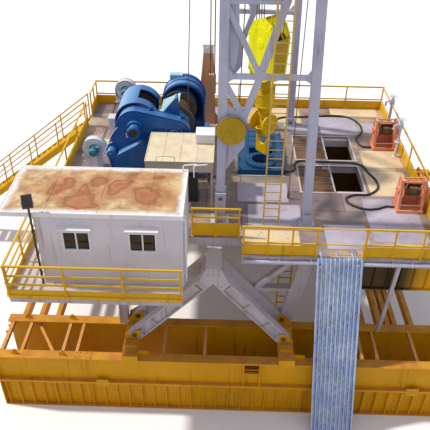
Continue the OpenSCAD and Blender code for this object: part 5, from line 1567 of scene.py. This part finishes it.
# %% Hooks of the chains and the gate
for share in RAIL_BARS:
    for x in (1.545, 2.955):
        add_block((x - 0.05, RAIL_FRONT - 0.04, RAIL_HEIGHT * share - 0.06),
                  (x + 0.05, RAIL_FRONT + 0.04, RAIL_HEIGHT * share + 0.004))
        add_tube((x, RAIL_FRONT, RAIL_HEIGHT * share), (x, RAIL_FRONT, RAIL_HEIGHT * share + 0.05), 0.012, 8)
for y in (3.06, 3.94):
    for share in RAIL_BARS:
        add_turned([(0.02, 0), (0.034, 0.008), (0.034, 0.03), (0.02, 0.038)],
                   (-7.26, y, RAIL_HEIGHT * share - 0.02), steps=12)
finish_piece("rail_gate_hooks", rail_yellow, bevel=0.002)

# %% [markdown]
# The slide is a ribbed steel chute. It leans out from the floor's edge and is rolled a little to one side.
# Hooks hold it to the floor, and flat bars stiffen its back.

# %% Places on the slide
SLIDE_TOP = -5.44
SLIDE_LEAN = math.atan(0.282)
SLIDE_TURN = Matrix.Rotation(-SLIDE_ROLL, 3, "Y")
SLIDE_LENGTH = 6.3


def on_slide(across, down, out):
    """A point of the slide: across from its middle, down from the floor, and out from its back face."""
    point = Vector((across, SLIDE_TOP - down * math.sin(SLIDE_LEAN) - out * math.cos(SLIDE_LEAN),
                    -down * math.cos(SLIDE_LEAN) + out * math.sin(SLIDE_LEAN)))
    return SLIDE_TURN @ point + SLIDE_X * X


SLIDE_OUT = on_slide(0, 0, 1) - on_slide(0, 0, 0)
print("foot of the slide:", [round(v, 2) for v in on_slide(0, SLIDE_LENGTH, 0)])

# %% Hooks, stiffeners and edge bars of the slide
for x in (-0.5, 0.0, 0.5):
    add_plate([(0, -0.05), (0.32, -0.05), (0.32, 0.02), (0.0, 0.02)],
              (SLIDE_X + x - 0.05, -5.5, 0.002), Y, X, 0.02)
    add_bolts([(SLIDE_X + x - 0.065, y, 0.022) for y in (-5.32, -5.22)], Z, 0.016)
for way in SIDES:
    add_bar(on_slide(way * 0.68, 0.0, 0.15), on_slide(way * 0.68, SLIDE_LENGTH, 0.15), 0.05, 0.016, SLIDE_OUT)
for down in (0.9, 2.2, 3.5, 4.8, 6.1):
    add_bar(on_slide(-0.68, down, -0.035), on_slide(0.68, down, -0.035), 0.1, 0.06, SLIDE_OUT)
    for way in SIDES:
        add_bar(on_slide(way * 0.692, down - 0.09, 0.07), on_slide(way * 0.692, down + 0.09, 0.07), 0.12,
                0.012, on_slide(1, 0, 0) - on_slide(0, 0, 0))
for way in SIDES:
    add_eye(on_slide(way * 0.6, 0.35, 0.06), X, 0.12, 0.03)
finish_piece("slide_hooks", slide_paint, bevel=0.003)

# %% Spot welds along the ribs of the slide
random.seed(21)
for rib in range(1, SLIDE_RIBS):
    across = -SLIDE_WIDTH / 2 + rib * SLIDE_WIDTH / SLIDE_RIBS
    for i in range(14):
        down = 0.3 + i * 0.44 + random.uniform(-0.04, 0.04)
        for side in SIDES:
            place = on_slide(across + side * 0.03, down, 0.05)
            add_bar(place, place + (on_slide(0, 1, 0) - on_slide(0, 0, 0)) * 0.05, 0.012, 0.01, SLIDE_OUT)
finish_piece("slide_welds", slide_paint, bevel=0)

# %% Treads and stringers of the stair
STAIR_X = -7.3
STAIR_Y = 3.5
TREADS = 30
STAIR_SLOPE = math.radians(38)
RUN = FLOOR / math.tan(STAIR_SLOPE) / TREADS
RISE = FLOOR / TREADS

for i in range(TREADS - 1):
    top = -(i + 1) * RISE
    front = STAIR_X - (i + 1) * RUN - 0.04
    add_block((front - 0.008, STAIR_Y - 0.405, top - 0.045), (front + 0.004, STAIR_Y + 0.405, top + 0.008))
    for k in range(6):
        x = front + 0.035 + k * 0.048
        add_block((x, STAIR_Y - 0.4, top), (x + 0.01, STAIR_Y + 0.4, top + 0.007))
    for way in SIDES:
        y = STAIR_Y + way * 0.447
        add_bolts([(front + 0.09, y, top - 0.02), (front + 0.22, y, top - 0.02)], way * Y, 0.012)
finish_piece("stair_treads", rail_yellow, bevel=0.002)

STAIR_FOOT = STAIR_X - RUN * TREADS
for way in SIDES:
    y = STAIR_Y + way * 0.425
    add_block((STAIR_FOOT - 0.06, y - 0.09, -FLOOR), (STAIR_FOOT + 0.3, y + 0.09, 0.02 - FLOOR))
    add_bolts([(STAIR_FOOT + dx, y + 0.06 * way, 0.02 - FLOOR) for dx in (0.0, 0.24)], Z, 0.018)
    add_block((STAIR_X - 0.02, y - 0.07, -0.34), (STAIR_X + 0.012, y + 0.07, -0.02))
    add_bolts([(STAIR_X - 0.02, y + 0.05 * way, -h) for h in (0.08, 0.18, 0.28)], -X, 0.016)
    for end in (0, 1):
        start = Vector((STAIR_X - 0.02, y + way * 0.02, -end * 0.3))
        stop = Vector((STAIR_FOOT + 0.28, y + way * 0.02, 0.3 - end * 0.27 - FLOOR))
        add_bar(start, stop, 0.012, 0.03, Y)
finish_piece("stair_shoes", rail_yellow, bevel=0.003)

# %% [markdown]
# ## Gear on the rig floor
# Two air winches stand at the right edge. Their rope turns with the drum, so it rides on the drum's body.

# %% Air winches
WINCHES = (("near", -2.6), ("far", 1.8))
WINCH_X = 5.0
WINCH_AXLE = 0.75

for side, y in WINCHES:
    profile = [(0.13, -0.285)]
    for i in range(18):
        x = -0.28 + i * 0.031
        layer = 0.172 if 4 < i < 15 else 0.15
        profile += [(layer, x + 0.004), (layer + 0.013, x + 0.015), (layer, x + 0.027)]
    profile += [(0.13, 0.285)]
    add_turned(profile, (WINCH_X, y, WINCH_AXLE), X, 32)
    finish_piece("winch_rope_" + side, wire_rope, "tugger_drum_" + side, bevel=0, angle=80)

for side, y in WINCHES:
    for way in SIDES:
        face = WINCH_X + way * 0.42
        add_turned([(0.075, 0), (0.13, 0), (0.13, 0.03), (0.115, 0.04), (0.115, 0.07), (0.075, 0.07)],
                   (face, y, WINCH_AXLE), way * X, 28)
        add_bolts(circle((face + way * 0.03, y, WINCH_AXLE), 0.105, 6, Y, start=0.5), way * X, 0.012)
        for a, b in (((-0.28, 0.16), (-0.16, 1.2)), ((0.28, 0.16), (0.16, 1.2)), ((-0.16, 1.2), (0.16, 1.2))):
            add_bar((face, y + a[0], a[1]), (face, y + b[0], b[1]), 0.05, 0.024, X)
        add_bolts([(WINCH_X + way * 0.36, y + dy, 0.12) for dy in (-0.3, 0.3)], Z, 0.022)
    for z, dy in ((1.16, -0.12), (1.16, 0.12), (0.28, -0.24)):
        add_tube((WINCH_X - 0.36, y + dy, z), (WINCH_X + 0.36, y + dy, z), 0.03, 12)
    for x in (-0.335, 0.325):
        add_turned([(0.235, 0), (0.3, 0), (0.3, 0.01), (0.235, 0.01)], (WINCH_X + x, y, WINCH_AXLE), X, 36)
    for i in range(6):
        a = math.radians(12 + i * 15)
        out = Vector((0, math.cos(a), math.sin(a)))
        middle = Vector((WINCH_X, y, WINCH_AXLE)) + out * 0.295
        add_bar(middle - 0.33 * X, middle + 0.33 * X, 0.082, 0.008, out)
finish_piece("winch_fittings", winch_red, bevel=0.002)

for side, y in WINCHES:
    add_turned([(0.1, 0.02), (0.15, 0.03), (0.15, 0.09), (0.11, 0.1), (0.11, 0.15), (0, 0.16)],
               (WINCH_X + 0.47, y, WINCH_AXLE), X, 28)
    middle = Vector((WINCH_X + 0.52, y, WINCH_AXLE))
    for aside in circle((0, 0, 0), 1, 5, Y):
        add_tube(middle + aside * 0.1, middle + aside * 0.2, 0.045, 14)
    add_pipe([(WINCH_X - 0.3, y - 0.24, 1.0), (WINCH_X - 0.3, y - 0.34, 1.15),
              (WINCH_X - 0.3, y - 0.36, 1.38)], 0.014, 8)
    add_turned([(0, -0.03), (0.025, -0.02), (0.03, 0), (0.025, 0.02), (0, 0.03)],
               (WINCH_X - 0.3, y - 0.36, 1.4), steps=12)
finish_piece("winch_motors", winch_red, bevel=0.002)

# %% Winch rope with its weight and shackle
ROPE_FOOT = Vector((0.89, -2.18, 0.06))

add_turned([(0, 0), (0.03, 0), (0.05, 0.03), (0.05, 0.17), (0.03, 0.21), (0.018, 0.24)], ROPE_FOOT, steps=16)
add_ring(ROPE_FOOT - 0.015 * Z, 0.035, 10, 0.01)
for height in (0.3, 0.36, 0.42):
    add_turned([(0.015, 0), (0.026, 0.004), (0.026, 0.026), (0.015, 0.03)], ROPE_FOOT + height * Z, steps=10)
finish_piece("winch_rope_weight", bare_steel, bevel=0.001)

# %% [markdown]
# The driller stands under the small shelter, with a console, its levers and gauges, and a fan behind a
# wire guard.

# %% Driller's shelter
SHELTER_X = (-4.0, -1.76)
SHELTER_Y = (-3.05, -1.05)
SHELTER_TOP = 1.9

for x in SHELTER_X:
    add_block((x - 0.014, SHELTER_Y[0], SHELTER_TOP - 0.07), (x + 0.014, SHELTER_Y[1], SHELTER_TOP + 0.012))
for y in SHELTER_Y:
    add_block((SHELTER_X[0], y - 0.014, SHELTER_TOP - 0.07), (SHELTER_X[1], y + 0.014, SHELTER_TOP + 0.012))
for i in range(1, 4):
    x = SHELTER_X[0] + i * 0.56
    add_block((x - 0.016, SHELTER_Y[0], SHELTER_TOP), (x + 0.016, SHELTER_Y[1], SHELTER_TOP + 0.012))
for z in (0.55, 1.1):
    for x in (-4.03, -4.19):
        add_tube((x, -2.95, z), (x, -2.2, z), 0.018, 8)
for x in (-3.96, -1.8):
    for y in (-3.0, -1.1):
        add_block((x - 0.08, y - 0.08, 0), (x + 0.08, y + 0.08, 0.014))
        add_bolts([(x + dx, y + dy, 0.014) for dx in (-0.06, 0.06) for dy in (-0.06, 0.06)], Z, 0.01)
add_pipe([(-3.6, -3.08, 1.5), (-3.6, -3.2, 1.55), (-3.6, -3.24, 1.95), (-3.6, -3.2, 2.15),
          (-3.3, -3.2, 2.2), (-3.0, -3.2, 2.15), (-3.0, -3.24, 1.95), (-3.0, -3.08, 1.55)], 0.016, 8)
finish_piece("shelter_trim", shelter_cream, bevel=0.003)

add_block((-2.355, -1.805, SHELTER_TOP + 0.015), (-1.795, -1.295, SHELTER_TOP + 0.352))
for x in (-2.38, -1.77):
    for y in (-1.83, -1.27):
        add_block((x - 0.02, y - 0.02, SHELTER_TOP), (x + 0.02, y + 0.02, SHELTER_TOP + 0.36))
add_block((-2.4, -1.85, SHELTER_TOP + 0.34), (-1.75, -1.25, SHELTER_TOP + 0.362))
for i in range(8):
    z = SHELTER_TOP + 0.06 + i * 0.032
    add_bar((-2.26, -1.806, z), (-1.9, -1.806, z), 0.02, 0.008, (0, 1, 0.6))
finish_piece("shelter_box_sheets", frame_white, bevel=0.003)

CONSOLE = (-2.75, -2.5)

add_plate([(0, 0), (0.55, 0), (0.55, 0.85), (0.4, 1.05), (0.0, 1.05)],
          (CONSOLE[0] - 0.45, CONSOLE[1], 0), Y, Z, 0.9)
add_block((CONSOLE[0] - 0.5, CONSOLE[1] - 0.02, 0), (CONSOLE[0] + 0.5, CONSOLE[1] + 0.6, 0.05))
for i in range(5):
    x = CONSOLE[0] - 0.34 + i * 0.17
    add_turned([(0.06, 0), (0.06, 0.03), (0.05, 0.035), (0.05, 0.02), (0, 0.02)],
               (x, CONSOLE[1] + 0.47, 0.94), (0, 0.8, 0.6), 20)
    add_tube((x, CONSOLE[1] + 0.2, 1.04), (x + 0.01, CONSOLE[1] + 0.26, 1.3), 0.012, 8)
    add_turned([(0, -0.025), (0.022, -0.015), (0.022, 0.015), (0, 0.025)],
               (x + 0.01, CONSOLE[1] + 0.26, 1.32), steps=12)
finish_piece("driller_console", lamp_enamel, bevel=0.004)

FAN = Vector((-1.9, -2.85, 1.2))

for radius in (0.12, 0.2, 0.28):
    add_ring(FAN, radius, 24, 0.006, 6)
for rim in circle(FAN, 0.28, 12):
    add_tube(FAN, rim, 0.004, 6)
for out in circle((0, 0, 0), 1, 4):
    add_bar(FAN + out * 0.04 + 0.06 * Y, FAN + out * 0.24 + 0.06 * Y, 0.1, 0.01,
            (0.5 * out.z, 0.86, -0.5 * out.x))
add_turned([(0, 0), (0.06, 0.02), (0.07, 0.1), (0.05, 0.2), (0, 0.22)], FAN, Y, 20)
add_tube(FAN + 0.12 * Y, FAN + Vector((0.1, 0.12, 0.6)), 0.014, 8)
finish_piece("shelter_fan", bare_steel, bevel=0)

# %% Hoist post
POST_BASE, POST_TOP = (-2.6, -1.86), (-2.335, -1.975)
POST_HEIGHT = 3.15

for y, way in ((3.5, -1), (3.8, 1)):
    for foot, head in zip(POST_BASE, POST_TOP):
        add_bar((foot, y, 0.05), (head, y, POST_HEIGHT), 0.05, 0.016, Y)
    for z in (0.5, 1.2, 1.9, 2.6):
        share = z / POST_HEIGHT
        low = POST_BASE[0] + (POST_TOP[0] - POST_BASE[0]) * share
        high = POST_BASE[1] + (POST_TOP[1] - POST_BASE[1]) * share
        add_bar((low, y, z), (high, y, z), 0.05, 0.014, Y)
for way in SIDES:
    add_plate([(0, 0), (0.3, 0), (0, 0.5)][::way], (-2.23 + way * 0.37, 3.65, 0), way * X, Z, 0.02)
add_block((-2.95, 3.35, 0), (-1.5, 3.95, 0.025))
add_bolts([(x, y, 0.025) for x in (-2.85, -2.4, -2.05, -1.6) for y in (3.42, 3.88)], Z, 0.022)
finish_piece("hoist_post_straps", post_tan, bevel=0.003)

add_block((-2.36, 3.46, 3.14), (-1.95, 3.84, 3.5))
add_block((-2.4, 3.42, 3.46), (-1.91, 3.88, 3.51))
for y in (3.4, 3.9):
    add_turned([(0, -0.02), (0.14, -0.02), (0.14, 0.02), (0, 0.02)], (-2.15, y, 3.3), Y, 28)
finish_piece("hoist_post_cap", frame_white, bevel=0.005)

# %% Pipe posts, box and tank
TANK = Vector((-5.7, -2.15, 0.42))

for x, y, height in ((5.35, 2.7, 1.5), (5.35, 1.0, 1.3)):
    for z in (0, height * 0.5, height - 0.03):
        add_turned([(0.06, 0), (0.11, 0), (0.11, 0.03), (0.06, 0.03)], (x, y, z), steps=24)
    add_turned([(0.06, 0), (0.09, 0.04), (0.1, 0.12), (0.07, 0.2), (0.03, 0.24), (0.02, 0.34), (0, 0.34)],
               (x, y, height), steps=20)
    wheel = (x, y, height + 0.33)
    add_ring(wheel, 0.14, 20, 0.014, up=Y)
    for rim in circle(wheel, 0.14, 4, up=Y):
        add_tube(wheel, rim, 0.01, 8)
    add_pipe([(x, y, height + 0.1), (x - 0.16, y, height + 0.1), (x - 0.24, y, height + 0.06),
              (x - 0.26, y, height - 0.1)], 0.045, 12)
add_block((-6.165, 2.09, 0.05), (-6.15, 2.41, 0.8))
add_block((-6.1, 2.04, 0.1), (-5.85, 2.05, 0.75))
add_block((-6.18, 2.02, 0.84), (-5.77, 2.48, 0.865))
for z in (0.2, 0.65):
    add_tube((-6.11, 2.04, z), (-6.11, 2.04, z + 0.06), 0.014, 8)
for along in (-0.4, 0, 0.4):
    add_turned([(0.3, -0.03), (0.312, -0.03), (0.312, 0.03), (0.3, 0.03)], TANK + along * X, X, 36)
for way in (1, -1):
    add_turned([(0.29, 0), (0.25, 0.05), (0.12, 0.09), (0, 0.1)], TANK + 0.55 * way * X, way * X, 32)
add_turned([(0.05, -0.04), (0.05, 0.03), (0.08, 0.03), (0.08, 0.05), (0, 0.05)], TANK + 0.3 * Z, steps=16)
add_pipe([(-5.5, -2.15, 0.7), (-5.5, -2.15, 0.8), (-5.45, -2.1, 0.86), (-5.3, -1.95, 0.86),
          (-5.25, -1.9, 0.8), (-5.25, -1.88, 0.2)], 0.018, 8)
finish_piece("pipe_post_valves", cabin_white, bevel=0.002)

# %% [markdown]
# ## Stage and light
# The rig stands on a plain pale floor that only keeps its shadow. The sun stands high on the left and a
# little behind, as in the picture, with a soft edge, and an even sky fills the shade. What the camera,
# mirrors and glass see behind the rig is plain white.

# %% Floor and sky
add_block((-150, -150, -0.5), (150, 150, 0))
mesh = close_mesh("studio_floor")
studio_floor = bpy.data.objects.new("studio_floor", mesh)
bpy.context.scene.collection.objects.link(studio_floor)
floor_paint, tree, shader = new_material("pale_studio_floor")
seen = add_node(tree, "LightPath").outputs["Is Camera Ray"]
tone = mix(tree, seen, "#cabdb0", "#f6f5f3")
fill(shader, {"Base Color": tone, "Roughness": 0.9})
mesh.materials.append(floor_paint)

world = bpy.data.worlds.new("plain_sky")
bpy.context.scene.world = world
world.use_nodes = True
tree = world.node_tree
tree.nodes.clear()
path = add_node(tree, "LightPath")
mirrored = maths(tree, "ADD", path.outputs["Is Glossy Ray"], path.outputs["Is Transmission Ray"])
seen = add_node(tree, "Math", {0: path.outputs["Is Camera Ray"], 1: mirrored}, operation="ADD",
                use_clamp=True)
sky = add_node(tree, "Background", {"Color": "#d2daee", "Strength": 0.75})
white = add_node(tree, "Background", {"Color": "#ffffff", "Strength": 1.0})
choice = add_node(tree, "MixShader", {0: seen, 1: sky, 2: white})
add_node(tree, "OutputWorld", {"Surface": choice})
print("floor and sky ready")

# %% Sun
sunlight = bpy.data.lights.new("sun", "SUN")
sunlight.energy = 3.1
sunlight.color = (1.0, 0.95, 0.87)
sunlight.angle = math.radians(3)
sun = bpy.data.objects.new("sun", sunlight)
toward = Vector((-0.8, 0.1, 1.0)).normalized()
sun.rotation_euler = toward.to_track_quat("Z", "Y").to_euler()
bpy.context.scene.collection.objects.link(sun)
bpy.context.scene.view_settings.view_transform = "Standard"
print("sun height", round(math.degrees(math.asin(toward.z)), 1), "degrees")
